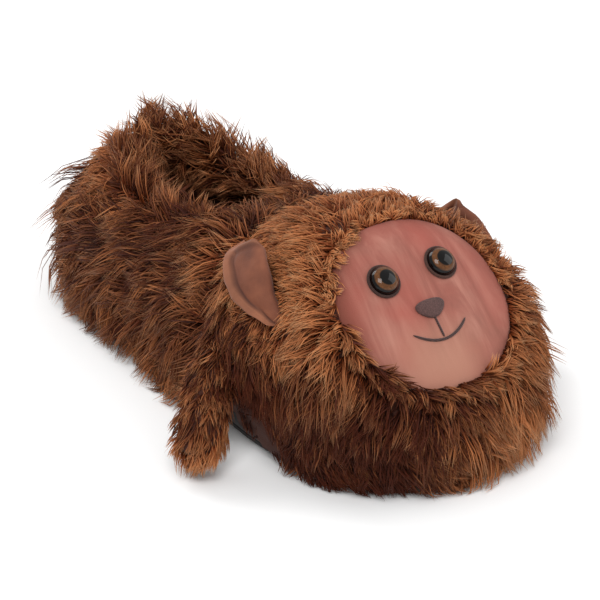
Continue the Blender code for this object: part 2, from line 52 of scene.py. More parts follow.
# share of the length from the heel, then the outer and inner half widths as shares of the ball's
soleTable = np.array([
    [0.00, 0.36, 0.36], [0.18, 0.37, 0.36], [0.40, 0.41, 0.34], [0.56, 0.47, 0.41],
    [0.72, 0.51, 0.49], [0.86, 0.48, 0.50], [1.00, 0.42, 0.46],
])
head = {
    "setBack": 0.070, "lift": 0.0354, "halfWidth": 0.072, "taper": 0.20, "front": 0.086, "back": 0.056,
    "rise": 0.062, "drop": 0.085,
    "slope": math.radians(46), "faceDepth": 0.055, "aim": math.radians(42),
    "faceWidth": 0.100, "faceHeight": 0.098, "panelThick": 0.0022, "skirt": 0.004, "skirtRise": 0.016,
}
earTable = np.array([  # across, back, up, width: shares of the head's sizes and of the ear's width
    [0.760, 0.390, 0.840, 0.56], [0.840, 0.300, 0.820, 0.96], [0.900, 0.160, 0.740, 1.00],
    [0.920, -0.010, 0.630, 0.84], [0.900, -0.190, 0.520, 0.48],
])
leftEarShift = np.array([0.003, -0.008, -0.009])
armTable = np.array([
    [0.722, 0.656, 0.065, 0.94], [0.917, 0.500, 0.016, 1.00],
    [1.210, 0.220, -0.210, 1.02], [1.400, 0.040, -0.590, 1.06],
])
soleTop = slipper["outsole"] + slipper["midsole"] + 2 * slipper["gap"]
headCentre = np.array([0.0, head["setBack"] - slipper["soleLength"] / 2, soleTop + head["lift"]])
faceNormal = np.array([0.0, -math.cos(head["slope"]), math.sin(head["slope"])])
faceAxis = np.array([0.0, -math.cos(head["aim"]), math.sin(head["aim"])])
faceUp = np.array([0.0, math.sin(head["aim"]), math.cos(head["aim"])])
faceSide = np.array([1.0, 0.0, 0.0])
upward = np.array([0.0, 0.0, 1.0])
limbRoom = 0.0004  # ears and arms clear of the head and the foot part


# curves and surfaces

def ease(low, high, value):
    # 0 before low, 1 after high, 3t^2 - 2t^3 between
    t = np.clip((value - low) / (high - low), 0, 1)
    return t * t * (3 - 2 * t)


def unit(v):
    return v / np.maximum(np.linalg.norm(v, axis=-1, keepdims=True), 1e-12)


def squareTo(v, normal):
    # v's direction without its part along the normal
    return unit(v - (v * normal).sum(-1, keepdims=True) * normal)


def turns(count, way=1):
    # angles of evenly spaced points round a circle
    return way * np.arange(count) / count * 2 * math.pi


def circles(count, right, up):
    # a unit circle round every point of a line
    turn = turns(count)[:, None, None]
    return np.cos(turn) * right + np.sin(turn) * up


def smoothTable(marks, values, where):
    # cubic through the marks, with slopes from the neighbours
    slopes = np.gradient(values, marks)
    where = np.clip(where, marks[0], marks[-1])
    i = np.clip(np.searchsorted(marks, where, side="right") - 1, 0, len(marks) - 2)
    span = marks[i + 1] - marks[i]
    t = (where - marks[i]) / span
    first = (1 + 2 * t) * (1 - t) ** 2 * values[i] + t * (1 - t) ** 2 * span * slopes[i]
    return first + t**2 * (3 - 2 * t) * values[i + 1] + t**2 * (t - 1) * span * slopes[i + 1]


def evenly(points, count, closed=False):
    # the same line with points at equal steps of its run
    if closed:
        points = np.vstack([points, points[:1]])
    run = np.concatenate([[0], np.cumsum(np.linalg.norm(np.diff(points, axis=0), axis=1))])
    wanted = np.linspace(0, run[-1], count + closed)[:count]
    return np.stack([np.interp(wanted, run, column) for column in points.T], 1)


def softNoise(points, size, seed):
    # sum of twelve sine waves of random direction, bumps of about this size, mostly -1 to 1
    rng = np.random.default_rng(seed)
    waves = unit(rng.normal(size=(12, 3))) * rng.uniform(0.6, 1.5, (12, 1)) * 2 * math.pi / size
    return np.sin(points @ waves.T + rng.uniform(0, 2 * math.pi, 12)).sum(-1) / 3.4


def alongSole(y):
    # share of the sole's length from the heel
    return 0.5 - y / slipper["soleLength"]


def soleSide(share, column):
    # half width from the table, drawn in by round ends
    half = smoothTable(soleTable[:, 0], soleTable[:, column], share) * slipper["ballWidth"]
    heel = np.clip(1 - share * slipper["soleLength"] / slipper["heelCap"], 0, 1)
    toe = np.clip(1 - (1 - share) * slipper["soleLength"] / slipper["toeCap"], 0, 1)
    return half * np.sqrt(1 - heel**2) * np.sqrt(1 - toe**2.2)


def soleOutline(grow, count):
    # half widths from the table with round ends, then moved out square to the line
    share = (1 - np.cos(np.linspace(0, math.pi, 181))) / 2
    y = slipper["soleLength"] * (0.5 - share)
    outer = np.stack([-soleSide(share, 1), y], 1)
    inner = np.stack([soleSide(share, 2), y], 1)[::-1][1:-1]
    line = evenly(np.vstack([outer, inner]), 360, closed=True)
    along = np.roll(line, -1, axis=0) - np.roll(line, 1, axis=0)
    return evenly(line + grow * unit(np.stack([along[:, 1], -along[:, 0]], 1)), count, closed=True)


def soleLift(y):
    # flat heel and forefoot, a slight arch between, and a toe that curls up
    share = alongSole(y)
    arch = np.sin(math.pi * np.clip((share - slipper["archFrom"]) / slipper["archSpan"], 0, 1)) ** 2
    spring = np.clip((share - slipper["springFrom"]) / slipper["springSpan"], 0, 1.2) ** 1.6
    return slipper["archLift"] * arch + slipper["toeSpring"] * spring


def soleRing(grow, height, count=240):
    line = soleOutline(grow, count)
    return np.column_stack([line, soleLift(line[:, 1]) + height])


def upperFace(columns, rows):
    # each column runs from the sole's edge to the collar: a power curve at the heel, a quarter
    # superellipse at the toe, and a mix of both between, with the heel bulged by a sine
    low = soleRing(slipper["grow"], soleTop, columns)
    turn = np.arange(columns) / columns
    half = np.where(turn <= 0.5, 2 * turn, 2 - 2 * turn)
    angle = math.pi * (0.6 * (1 - (1 - half) ** 2) + 0.4 * half)
    side = np.where(turn <= 0.5, -1, 1)
    rise = slipper["heelRise"] + (slipper["throatRise"] - slipper["heelRise"]) * ease(0, math.pi, angle)
    back = slipper["soleLength"] / 2 - slipper["collarBackSet"]
    high = np.stack([
        side * slipper["collarWidth"] / 2 * np.sin(angle) ** 0.9,
        back - slipper["collarLength"] / 2 * (1 - np.cos(angle)),
        soleTop + slipper["collarHeight"] + rise * np.cos(angle) ** 2,
    ], 1)
    over = ease(math.radians(45), math.radians(150), angle)[:, None]  # 0 round the heel, 1 at the toe
    t = np.linspace(0, 1, 80)[None, :]
    toeAcross = 1 - np.cos(t * math.pi / 2) ** (2 / slipper["toeRound"])
    toeClimb = np.sin(t * math.pi / 2) ** (2 / slipper["toeRound"])
    across = (1 - over) * t ** slipper["heelCurl"] + over * toeAcross
    climb = (1 - over) * t + over * toeClimb
    step = high - low
    steps = np.stack([across * step[:, :1], across * step[:, 1:2], climb * step[:, 2:]], 2)
    lines = low[:, None, :] + steps
    middle = np.clip(low[:, 1], 0, 0.3 * slipper["soleLength"])
    away = unit(low[:, :2] - np.column_stack([np.zeros(columns), middle]))
    bulge = slipper["heelBulge"] * np.sin(t * math.pi) * (1 - over)
    lines[:, :, :2] += bulge[:, :, None] * away[:, None, :]
    return np.stack([evenly(line, rows) for line in lines])


def facing(grid):
    # unit normals of a grid that closes across its columns
    along = np.roll(grid, -1, axis=0) - np.roll(grid, 1, axis=0)
    return unit(np.cross(along, np.gradient(grid, axis=1)))


def headRadius(direction):
    # rounded box of three superellipse axes, cut by the slope of the face, joined by a ninth power
    x, y, z = direction[..., 0], direction[..., 1], direction[..., 2]
    depth = np.where(y < 0, head["front"], head["back"])
    height = np.where(z > 0, head["rise"], head["drop"])
    half = head["halfWidth"] * (1 - head["taper"] * np.maximum(z, 0) ** 2)
    level = (np.abs(x / half) ** 2.2 + np.abs(y / depth) ** 2.2) ** (1 / 2.2)
    body = (level**2.5 + np.abs(z / height) ** 2.5) ** (1 / 2.5)
    return (body**9 + (np.maximum(direction @ faceNormal, 0) / head["faceDepth"]) ** 9) ** (-1 / 9)


def onHead(direction, out=0.0):
    return headCentre + direction * (headRadius(direction) + out)[..., None]


def headDepth(points):
    step = points - headCentre
    return np.linalg.norm(step, axis=-1) - headRadius(unit(step))


def faceDirection(angle, turn):
    # unit vector at an angle from the face's axis, turned round it
    across = np.cos(turn)[..., None] * faceSide + np.sin(turn)[..., None] * faceUp
    return np.cos(angle)[..., None] * faceAxis + np.sin(angle)[..., None] * across


def faceEdge(turn):
    wide = np.abs(np.cos(turn) / (head["faceWidth"] / 2)) ** 2.3
    tall = np.abs(np.sin(turn) / (head["faceHeight"] / 2)) ** 2.3
    return np.arctan((wide + tall) ** (-1 / 2.3) / head["faceDepth"])


def limbLine(table, side, count):
    # even points along an ear's or arm's middle line, with the width's share
    marks = np.linspace(0, 1, len(table))
    where = np.linspace(0, 1, 120)
    across, back, up, width = [smoothTable(marks, column, where) for column in table.T]
    step = np.stack([side * across * head["halfWidth"], back * head["back"], up * head["rise"]], 1)
    if table is earTable and side > 0:
        step = step + leftEarShift
    line = evenly(np.column_stack([headCentre + step, width]), count)
    return line[:, :3], line[:, 3]


def limbGap(points, table, side):
    # distance to the nearest of sixteen points along an ear's or arm's middle line
    line = limbLine(table, side, 16)[0]
    return np.linalg.norm(points[..., None, :] - line, axis=-1).min(axis=-1)


def outOfHead(points, room):
    # points inside the head's cloth go out to just over it
    step = points - headCentre
    short = np.maximum(room - headDepth(points), 0)
    return points + unit(step) * short[..., None]


# the foot part's outer face: the head and the arms are shaped against it
footFace = upperFace(240, 60)
footNormals = facing(footFace)


def nearestFoot(points, step):
    # for every point: how far it is outside the foot's nearest grid point, and that point's normal
    flat, up = footFace[::step, ::2].reshape(-1, 3), footNormals[::step, ::2].reshape(-1, 3)
    depth, away = np.empty(len(points)), np.empty((len(points), 3))
    for first in range(0, len(points), 800):
        some = slice(first, first + 800)
        near = (-2 * points[some] @ flat.T + (flat**2).sum(1)).argmin(1)
        depth[some] = ((points[some] - flat[near]) * up[near]).sum(-1)
        away[some] = up[near]
    return depth, away


def footDepth(points):
    return nearestFoot(points.reshape(-1, 3), 4)[0].reshape(points.shape[:-1])


def outOfFoot(points, room):
    flat = points.reshape(-1, 3)
    depth, away = nearestFoot(flat, 1)
    return (flat + np.maximum(room - depth, 0)[:, None] * away).reshape(points.shape)


# meshes

def addObject(name, data):
    made = bpy.data.objects.new(name, data)
    bpy.context.scene.collection.objects.link(made)
    return made


def mend(mesh, reach, recalc=True, fill=False):
    # merges the points that lie within reach of each other, and fills holes if asked
    work = bmesh.new()
    work.from_mesh(mesh)
    bmesh.ops.remove_doubles(work, verts=work.verts, dist=reach)
    if fill:
        bmesh.ops.holes_fill(work, edges=[e for e in work.edges if e.is_boundary], sides=0)
    if recalc:
        bmesh.ops.recalc_face_normals(work, faces=work.faces)
    work.to_mesh(mesh)
    work.free()


def makeMesh(name, points, faces, material, smooth=True, recalc=True):
    mesh = bpy.data.meshes.new(name)
    mesh.from_pydata(np.asarray(points).reshape(-1, 3).tolist(), [], faces)
    mend(mesh, 0.00001, recalc)
    mesh.polygons.foreach_set("use_smooth", [smooth] * len(mesh.polygons))
    mesh.materials.append(material)
    return addObject(name, mesh)


def gridFaces(columns, rows, closeRows=False):
    # quads of a grid that closes across its columns, and along its rows if asked
    i, j = np.meshgrid(np.arange(columns), np.arange(rows if closeRows else rows - 1), indexing="ij")
    k, m = (i + 1) % columns, (j + 1) % rows
    return np.stack([i * rows + j, k * rows + j, k * rows + m, i * rows + m], -1).reshape(-1, 4).tolist()


def makeSurface(name, grid, material, closeRows=False, ends=(None, None)):
    # a closed body from a grid: both ends drawn in to a point, or the rows joined into a loop
    columns, rows = grid.shape[:2]
    points = [grid.reshape(-1, 3)]
    faces = gridFaces(columns, rows, closeRows)
    total = columns * rows
    i = np.arange(columns)
    for row, end in () if closeRows else ((0, ends[0]), (rows - 1, ends[1])):
        points.append(np.reshape(grid[:, row].mean(axis=0) if end is None else end, (1, 3)))
        fan = [i * rows + row, (i + 1) % columns * rows + row, np.full(columns, total)]
        faces += np.stack(fan, 1).tolist()
        total += 1
    return makeMesh(name, np.vstack(points), faces, material)


def pointsOf(piece):
    return np.array([v.co for v in piece.data.vertices])


def setAttribute(piece, name, values):
    layer = piece.data.attributes.new(name, "FLOAT", "POINT")
    layer.data.foreach_set("value", np.asarray(values, dtype=np.float32))


def finish(piece, nodes=()):
    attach(piece, "root")
    if nodes:
        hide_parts(*nodes)


# materials

black, white = (0, 0, 0, 1), (1, 1, 1, 1)


def tint(red, green, blue):
    # screen colour out of 255 to the light that it stands for
    return tuple((v / 255) ** 2.2 for v in (red, green, blue)) + (1.0,)


def grey(value):
    return (value, value, value, 1)


def startMaterial(name, roughness, sheen=0.0, coat=0.0):
    material = bpy.data.materials.new(name)
    material.use_nodes = True
    tree = material.node_tree
    shader = tree.nodes["Principled BSDF"]
    shader.inputs["Roughness"].default_value = roughness
    shader.inputs["Sheen Weight"].default_value = sheen
    shader.inputs["Sheen Roughness"].default_value = 0.45
    shader.inputs["Coat Weight"].default_value = coat
    shader.inputs["Coat Roughness"].default_value = 0.04
    return material, tree, shader


def node(tree, kind, inputs=None, **settings):
    # a node with its settings, and inputs that are values or another node's output
    made = tree.nodes.new(kind)
    for key, value in settings.items():
        setattr(made, key, value)
    for key, value in (inputs or {}).items():
        if isinstance(value, bpy.types.NodeSocket):
            tree.links.new(value, made.inputs[key])
        else:
            made.inputs[key].default_value = value
    return made


def ramp(tree, factor, *stops):
    made = node(tree, "ShaderNodeValToRGB", {"Fac": factor})
    line = made.color_ramp
    while len(line.elements) < len(stops):
        line.elements.new(0.5)
    for element, (spot, colour) in zip(line.elements, stops):
        element.position = spot
        element.color = colour
    return made.outputs["Color"]


def blend(tree, factor, first, second):
    # inputs 6 and 7 of the node are its two colours
    return node(tree, "ShaderNodeMix", {0: factor, 6: first, 7: second}, data_type="RGBA").outputs[2]


def times(tree, first, second):
    return node(tree, "ShaderNodeMath", {0: first, 1: second}, operation="MULTIPLY").outputs["Value"]


def attribute(tree, name):
    return node(tree, "ShaderNodeAttribute", attribute_name=name).outputs["Fac"]


def place(tree, scale=(1, 1, 1), rotation=(0, 0, 0)):
    # the piece's own coordinates, stretched and turned
    where = node(tree, "ShaderNodeTexCoord").outputs["Object"]
    inputs = {"Vector": where, "Scale": scale, "Rotation": rotation}
    return node(tree, "ShaderNodeMapping", inputs).outputs["Vector"]


def noise(tree, scale, detail, where=None, **more):
    inputs = {"Vector": where or place(tree), "Scale": scale, "Detail": detail, **more}
    return node(tree, "ShaderNodeTexNoise", inputs).outputs["Fac"]


def wave(tree, scale, distortion, way):
    inputs = {"Vector": place(tree), "Scale": scale, "Distortion": distortion}
    return node(tree, "ShaderNodeTexWave", inputs, bands_direction=way).outputs["Fac"]


def paint(tree, shader, colour, relief=None, strength=0.0, depth=0.0):
    # the colour, and a fine relief of this depth in metres
    tree.links.new(colour, shader.inputs["Base Color"])
    if relief is not None:
        made = node(tree, "ShaderNodeBump", {"Height": relief, "Strength": strength, "Distance": depth})
        tree.links.new(made.outputs["Normal"], shader.inputs["Normal"])


def plushFur():
    # colour runs from a dark root, which is painted shade between the strands, to a light tip, and from dark to
    # golden with the strand's tone
    material, tree, shader = startMaterial("plushFur", 0.55)
    shader.inputs["Specular IOR Level"].default_value = 0.15
    layer = node(tree, "ShaderNodeUVMap", uv_map="OFBake").outputs["UV"]
    spot = node(tree, "ShaderNodeSeparateXYZ", {"Vector": layer})
    marks = (0.0, 0.35, 0.75, 1.0)
    darks = tint(14, 6, 3), tint(42, 16, 7), tint(68, 26, 11), tint(94, 41, 19)
    lights = tint(54, 24, 10), tint(118, 58, 29), tint(186, 119, 75), tint(230, 174, 127)
    dark, light = [ramp(tree, spot.outputs["Y"], *zip(marks, colours)) for colours in (darks, lights)]
    paint(tree, shader, blend(tree, spot.outputs["X"], dark, light))
    return material


def furBacking():
    # knitted backing that shows between the tufts
    material, tree, shader = startMaterial("furBacking", 0.95)
    colour = blend(tree, noise(tree, 60.0, 2.0), tint(42, 18, 9), tint(74, 36, 19))
    paint(tree, shader, colour, noise(tree, 900.0, 3.0), 0.6, 0.0006)
    return material


def shortPile(name, low, high):
    # short pile: fine specks for the pile ends over soft patches where it lies the other way
    material, tree, shader = startMaterial(name, 0.9, sheen=0.06)
    pile = noise(tree, 1400.0, 4.0, Roughness=0.7)
    colour = ramp(tree, times(tree, pile, noise(tree, 45.0, 3.0)), (0.14, low), (0.40, high))
    paint(tree, shader, colour, pile, 0.55, 0.0007)
    return material


def faceVelour():
    # pinkish velour with soft watery streaks down the face, a paler chin and a browner edge
    material, tree, shader = startMaterial("faceVelour", 0.85, sheen=0.05)
    turned = place(tree, rotation=(math.pi / 2 - head["aim"], 0, 0))
    drawn = node(tree, "ShaderNodeMapping", {"Vector": turned, "Scale": (1.0, 1.0, 0.16)}).outputs["Vector"]
    streaks = noise(tree, 75.0, 4.0, drawn, Roughness=0.62, Distortion=0.6)
    stops = (0.30, tint(106, 63, 52)), (0.50, tint(136, 84, 72)), (0.72, tint(168, 116, 101))
    base = ramp(tree, streaks, *stops)
    clouds = ramp(tree, noise(tree, 26.0, 3.0, turned), (0.40, black), (0.66, grey(0.75)))
    blush = blend(tree, clouds, base, tint(146, 72, 61))
    paler = blend(tree, attribute(tree, "chin"), blush, tint(160, 113, 94))
    colour = blend(tree, attribute(tree, "rim"), paler, tint(92, 44, 28))
    paint(tree, shader, colour, noise(tree, 1600.0, 3.0, turned), 0.35, 0.0004)
    return material


def softVelour():
    # brown velour of the ears, with a painted highlight on the rolled rim and painted shade in the groove round
    # the bowl
    material, tree, shader = startMaterial("softVelour", 0.85, sheen=0.06)
    patches = noise(tree, 55.0, 3.0)
    colour = ramp(tree, patches, (0.34, tint(88, 47, 30)), (0.52, tint(108, 61, 41)), (0.70, tint(130, 78, 54)))
    # the edge mark paints a highlight on the rolled rim, and the next mark paints shade in the groove round the
    # bowl
    paler = blend(tree, attribute(tree, "edge"), colour, tint(172, 116, 84))
    colour = blend(tree, attribute(tree, "grooveShade"), paler, tint(58, 26, 16))
    paint(tree, shader, colour, noise(tree, 1500.0, 3.0), 0.4, 0.0005)
    return material


def eyeGloss():
    # dark pupil, a brown iris ring and a black edge under a clear coat
    material, tree, shader = startMaterial("eyeGloss", 0.3, coat=1.0)
    shader.inputs["Coat IOR"].default_value = 1.33
    shader.inputs["Specular IOR Level"].default_value = 0.0
    iris = blend(tree, noise(tree, 900.0, 2.0), tint(44, 26, 15), tint(112, 72, 42))
    stops = (0.52, black), (0.58, white), (0.80, white), (0.86, black)
    ring = ramp(tree, attribute(tree, "fromMiddle"), *stops)
    paint(tree, shader, blend(tree, ring, tint(10, 7, 6), iris))
    return material


def wovenCloth(name, low, high, size):
    # plain weave of two crossed waves, with thread to thread variation
    material, tree, shader = startMaterial(name, 0.85, sheen=0.15)
    weave = times(tree, wave(tree, size, 0.4, "X"), wave(tree, size, 0.4, "Y"))
    colour = ramp(tree, times(tree, weave, noise(tree, 70.0, 4.0)), (0.02, low), (0.5, high))
    paint(tree, shader, colour, weave, 0.5, 0.0003)
    return material


def gripRubber():
    # matt sole rubber with fine grain, dusty scuffs and a little wear
    material, tree, shader = startMaterial("gripRubber", 0.7)
    scuff = noise(tree, 90.0, 5.0, place(tree, scale=(1, 0.3, 1)))
    colour = ramp(tree, scuff, (0.45, tint(26, 22, 21)), (0.75, tint(50, 44, 41)))
    tree.links.new(ramp(tree, scuff, (0.4, grey(0.6)), (0.7, grey(0.85))), shader.inputs["Roughness"])
    paint(tree, shader, colour, noise(tree, 1100.0, 4.0), 0.3, 0.0003)
    return material


def plainThread(name, colour, darker):
    material, tree, shader = startMaterial(name, 0.75, sheen=0.2)
    twist = wave(tree, 420.0, 1.0, "DIAGONAL")
    paint(tree, shader, blend(tree, twist, darker, colour), twist, 0.4, 0.0002)
    return material


fur = plushFur()
backing = furBacking()
velour = softVelour()
print("materials ready")


# the fur

furSpread = {  # how tufts and strands differ: angles and turns in radians, the rest as shares
    "tuftLength": (0.78, 1.18), "longTufts": 0.1, "longer": 1.3,
    "tuftStart": 0.26, "tuftEnd": 0.20, "tuftCurl": 0.35,
    "length": (0.62, 1.06), "start": 0.16, "end": 0.14, "twist": 0.22, "curl": 0.35,
    "pull": (0.55, 1.15), "loosePull": 0.1, "width": (0.55, 1.35), "looseWidth": 0.7,
    "patchTone": 0.10, "patchSize": 0.03, "flat": 0.62,
}
strandRun = np.array([0.0, 0.30, 0.65, 1.0])  # where a strand's four points lie along it
pullRun = np.array([0.0, 0.30, 0.72, 1.0])  # the share of the tuft's pull that each of them takes


def lookUp(grid, u, v):
    # bilinear value of a grid at column u and row v
    columns = grid.shape[0]
    i, j = np.floor(u).astype(int), np.floor(v).astype(int)
    f, g = (u - i)[:, None], (v - j)[:, None]
    k, i = (i + 1) % columns, i % columns
    low = (1 - f) * grid[i, j] + f * grid[k, j]
    return (1 - g) * low + g * ((1 - f) * grid[i, j + 1] + f * grid[k, j + 1])


def strandPaths(root, normal, lay, length, sag, start, end, twist, curl):
    # four points a strand: its angle over the cloth falls from start to end, it turns sideways by
    # twist and curl, and sags with the square of its run
    side = np.cross(normal, lay)
    points = [root]
    for a, b in zip(strandRun[:-1], strandRun[1:]):
        middle = (a + b) / 2
        angle = start + (end - start) * middle
        turn = twist + curl * middle
        level = np.cos(turn)[:, None] * lay + np.sin(turn)[:, None] * side
        step = np.cos(angle)[:, None] * level + np.sin(angle)[:, None] * normal
        step = step - sag * (b**2 - a**2) / (b - a) * upward
        points.append(points[-1] + step * (length * (b - a))[:, None])
    return np.stack(points, 1)


def growCoat(name, body, skin, normals, look, lay, growth, tone, seed, stretch=None, flare=None):
    # tufts are scattered by area, each with its own lean and length, and every strand of a tuft is
    # drawn towards the tuft's own line, so the tips meet in a point; stretch scales a tuft's length
    # and flare adds to its angle over the cloth
    rng = np.random.default_rng(seed)
    last = skin.shape[1] - 1
    across = np.roll(skin, -1, axis=0)[:, :-1] - skin[:, :-1]
    up = skin[:, 1:] - skin[:, :-1]
    area = np.linalg.norm(np.cross(across, up), axis=-1)
    chance = area * growth(skin[:, :-1] + (across + up) / 2)
    tufts, each = look["tufts"], look["perTuft"]
    column, row = np.divmod(rng.choice(chance.size, tufts, p=(chance / chance.sum()).ravel()), last)
    tuftU, tuftV = column + rng.random(tufts), row + rng.random(tufts)
    own = np.repeat(np.arange(tufts), each)
    count = len(own)
    spread = look["tuftRadius"] * rng.normal(size=(2, count))
    u = tuftU[own] + spread[0] / np.linalg.norm(across[column, row], axis=-1)[own]
    v = tuftV[own] + spread[1] / np.linalg.norm(up[column, row], axis=-1)[own]

    def seat(u, v):
        v = np.clip(v, 0, last - 0.001)
        root, normal = lookUp(skin, u, v), unit(lookUp(normals, u, v))
        return root - look["sink"] * normal, normal, squareTo(lay(root, normal), normal)

    tuftRoot, tuftNormal, tuftWay = seat(tuftU, tuftV)
    root, normal, way = seat(u, v)
    swirl = look["swirl"] * softNoise(tuftRoot, look["swirlSize"], seed + 1)
    # shorter where the coat thins out, and one tuft in ten longer
    tuftLength = look["length"] * rng.uniform(*furSpread["tuftLength"], tufts)
    tuftLength = tuftLength * (0.45 + 0.55 * growth(tuftRoot)) * (stretch(tuftRoot) if stretch else 1.0)
    tuftLength = tuftLength * np.where(rng.random(tufts) < furSpread["longTufts"], furSpread["longer"], 1.0)
    lifted = flare(tuftRoot) if flare else 0.0
    tuft = {
        "start": look["start"] + lifted + rng.normal(0, furSpread["tuftStart"], tufts),
        "end": look["end"] + 1.2 * lifted + rng.normal(0, furSpread["tuftEnd"], tufts),
        "twist": swirl + rng.normal(0, look["stray"], tufts),
        "curl": rng.normal(0, furSpread["tuftCurl"], tufts),
    }
    lines = strandPaths(tuftRoot, tuftNormal, tuftWay, tuftLength, look["sag"], **tuft)
    length = tuftLength[own] * rng.uniform(*furSpread["length"], count)
    strand = {key: value[own] + rng.normal(0, furSpread[key], count) for key, value in tuft.items()}
    paths = strandPaths(root, normal, way, length, look["sag"], **strand)
    pull = look["pull"] * rng.uniform(*furSpread["pull"], count)
    loose = rng.random(count) < look["loose"]
    pull = np.where(loose, furSpread["loosePull"], np.clip(pull, 0, 0.97))[:, None] * pullRun**1.1
    paths = paths + pull[..., None] * (lines[own] - paths)
    width = look["width"] * rng.uniform(*furSpread["width"], count)
    width = width * np.where(loose, furSpread["looseWidth"], 1.0)
    shade = tone(tuftRoot)[own] + rng.normal(0, look["tuftTone"], tufts)[own]
    shade = shade + rng.normal(0, look["strandTone"], count)
    patches = furSpread["patchTone"] * softNoise(root, furSpread["patchSize"], seed + 2)
    strands = strandMesh(name, paths, normal, width, np.clip(shade + patches, 0.03, 0.97), look["floor"])
    finish(strands, [body])


def strandMesh(name, paths, normal, width, shade, floor):
    # each strand is a closed spindle of twelve triangles: root point, two rings of three, tip
    paths[..., 2] = np.maximum(paths[..., 2], floor + width[:, None] * 0.3)
    forward = np.stack([unit(paths[:, 2] - paths[:, 0]), unit(paths[:, 3] - paths[:, 1])], 1)
    up = squareTo(normal[:, None], forward)
    side = np.cross(up, forward)
    turn = np.radians([90, 210, 330])
    half = width[:, None] * np.array([0.5, 0.40])
    wide, thick = np.cos(turn)[:, None], furSpread["flat"] * np.sin(turn)[:, None]
    ring = wide * side[:, :, None, :] + thick * up[:, :, None, :]
    ring = paths[:, 1:3, None, :] + half[:, :, None, None] * ring
    points = np.concatenate([paths[:, :1], ring[:, 0], ring[:, 1], paths[:, 3:]], 1)
    pattern = np.array([
        [0, 2, 1], [0, 3, 2], [0, 1, 3], [1, 2, 5], [1, 5, 4], [2, 3, 6], [2, 6, 5], [3, 1, 4], [3, 4, 6],
        [4, 5, 7], [5, 6, 7], [6, 4, 7],
    ])
    count = len(paths)
    corners = (pattern.ravel()[None, :] + 8 * np.arange(count)[:, None]).ravel()
    mesh = bpy.data.meshes.new(name)
    mesh.vertices.add(8 * count)
    mesh.vertices.foreach_set("co", points.ravel())
    mesh.loops.add(len(corners))
    mesh.loops.foreach_set("vertex_index", corners)
    mesh.polygons.add(len(corners) // 3)
    mesh.polygons.foreach_set("loop_start", np.arange(0, len(corners), 3))
    mesh.polygons.foreach_set("use_smooth", np.ones(len(corners) // 3, dtype=bool))
    layer = mesh.uv_layers.new(name="OFBake")
    across = np.array([0, -0.006, 0, 0.006, -0.006, 0, 0.006, 0])[pattern.ravel()]
    # along the strand from root to tip: the fur's material paints shade near the root
    run = np.array([0.02, 0.30, 0.31, 0.29, 0.65, 0.66, 0.64, 0.98])[pattern.ravel()]
    map2 = np.stack([shade[:, None] + across[None, :], np.broadcast_to(run, (count, len(run)))], -1)
    layer.data.foreach_set("uv", map2.ravel())
    mesh.update(calc_edges=True)
    mesh.validate()
    mesh.materials.append(fur)
    return addObject(name, mesh)


# sole

outsoleLook = {
    "inset": 0.0015, "edge": 0.0009,
    "dotPitch": 0.0085, "dotRadius": 0.0018, "dotHeight": 0.0006, "dotInset": 0.007, "dotSides": 8,
    "rowStep": 0.866,
}
midsoleLook = {"bulge": 0.0015, "sideRows": 12}
insoleLook = {"thick": 0.006, "inset": 0.0032, "cup": 0.0016, "edge": 0.0016, "halfBed": 0.036}


def ringsToSole(name, rings, material, rowsIn=14, relief=None):
    # stacks the rings, then closes top and bottom with rings that shrink onto the sole's middle line
    rings = np.stack(rings, 1)
    # a column and its mirror column end in one point of that line, so no gap is left along it
    middle = (rings[:, :1, 1] + np.roll(rings[::-1, :1, 1], 1, axis=0)) / 2
    middle = np.clip(middle, -0.34 * slipper["soleLength"], 0.36 * slipper["soleLength"])

    def inwards(edge):
        spine = np.column_stack([np.zeros(len(edge)), middle[:, 0], np.zeros(len(edge))])
        t = (np.arange(1, rowsIn + 1) / rowsIn)[None, :, None]
        flat = edge[:, None, :] * (1 - t) + spine[:, None, :] * t
        flat[..., 2] = (edge[:, 2] - soleLift(edge[:, 1]))[:, None] + soleLift(flat[..., 1])
        return flat

    low, high = inwards(rings[:, 0])[:, ::-1], inwards(rings[:, -1])
    grid = np.concatenate([low, rings, high], 1)
    if relief is not None:
        grid = relief(grid, rowsIn + rings.shape[1])
    piece = makeMesh(name, grid.reshape(-1, 3), gridFaces(*grid.shape[:2]), material)
    mend(piece.data, 0.00002, fill=True)  # the two sides' points on the middle line become one
    return piece


def makeOutsole(rubber):
    # a sheet with a rounded lower edge, as high over the floor as its grip dots are tall
    inset, lift = outsoleLook["inset"], outsoleLook["dotHeight"]
    steps = (-inset, lift), (-inset * 0.35, lift + 0.0003), (0, lift + outsoleLook["edge"])
    rings = [soleRing(grow, height) for grow, height in (*steps, (0, slipper["outsole"]))]
    finish(ringsToSole("outsoleSheet", rings, rubber), ["outsole"])


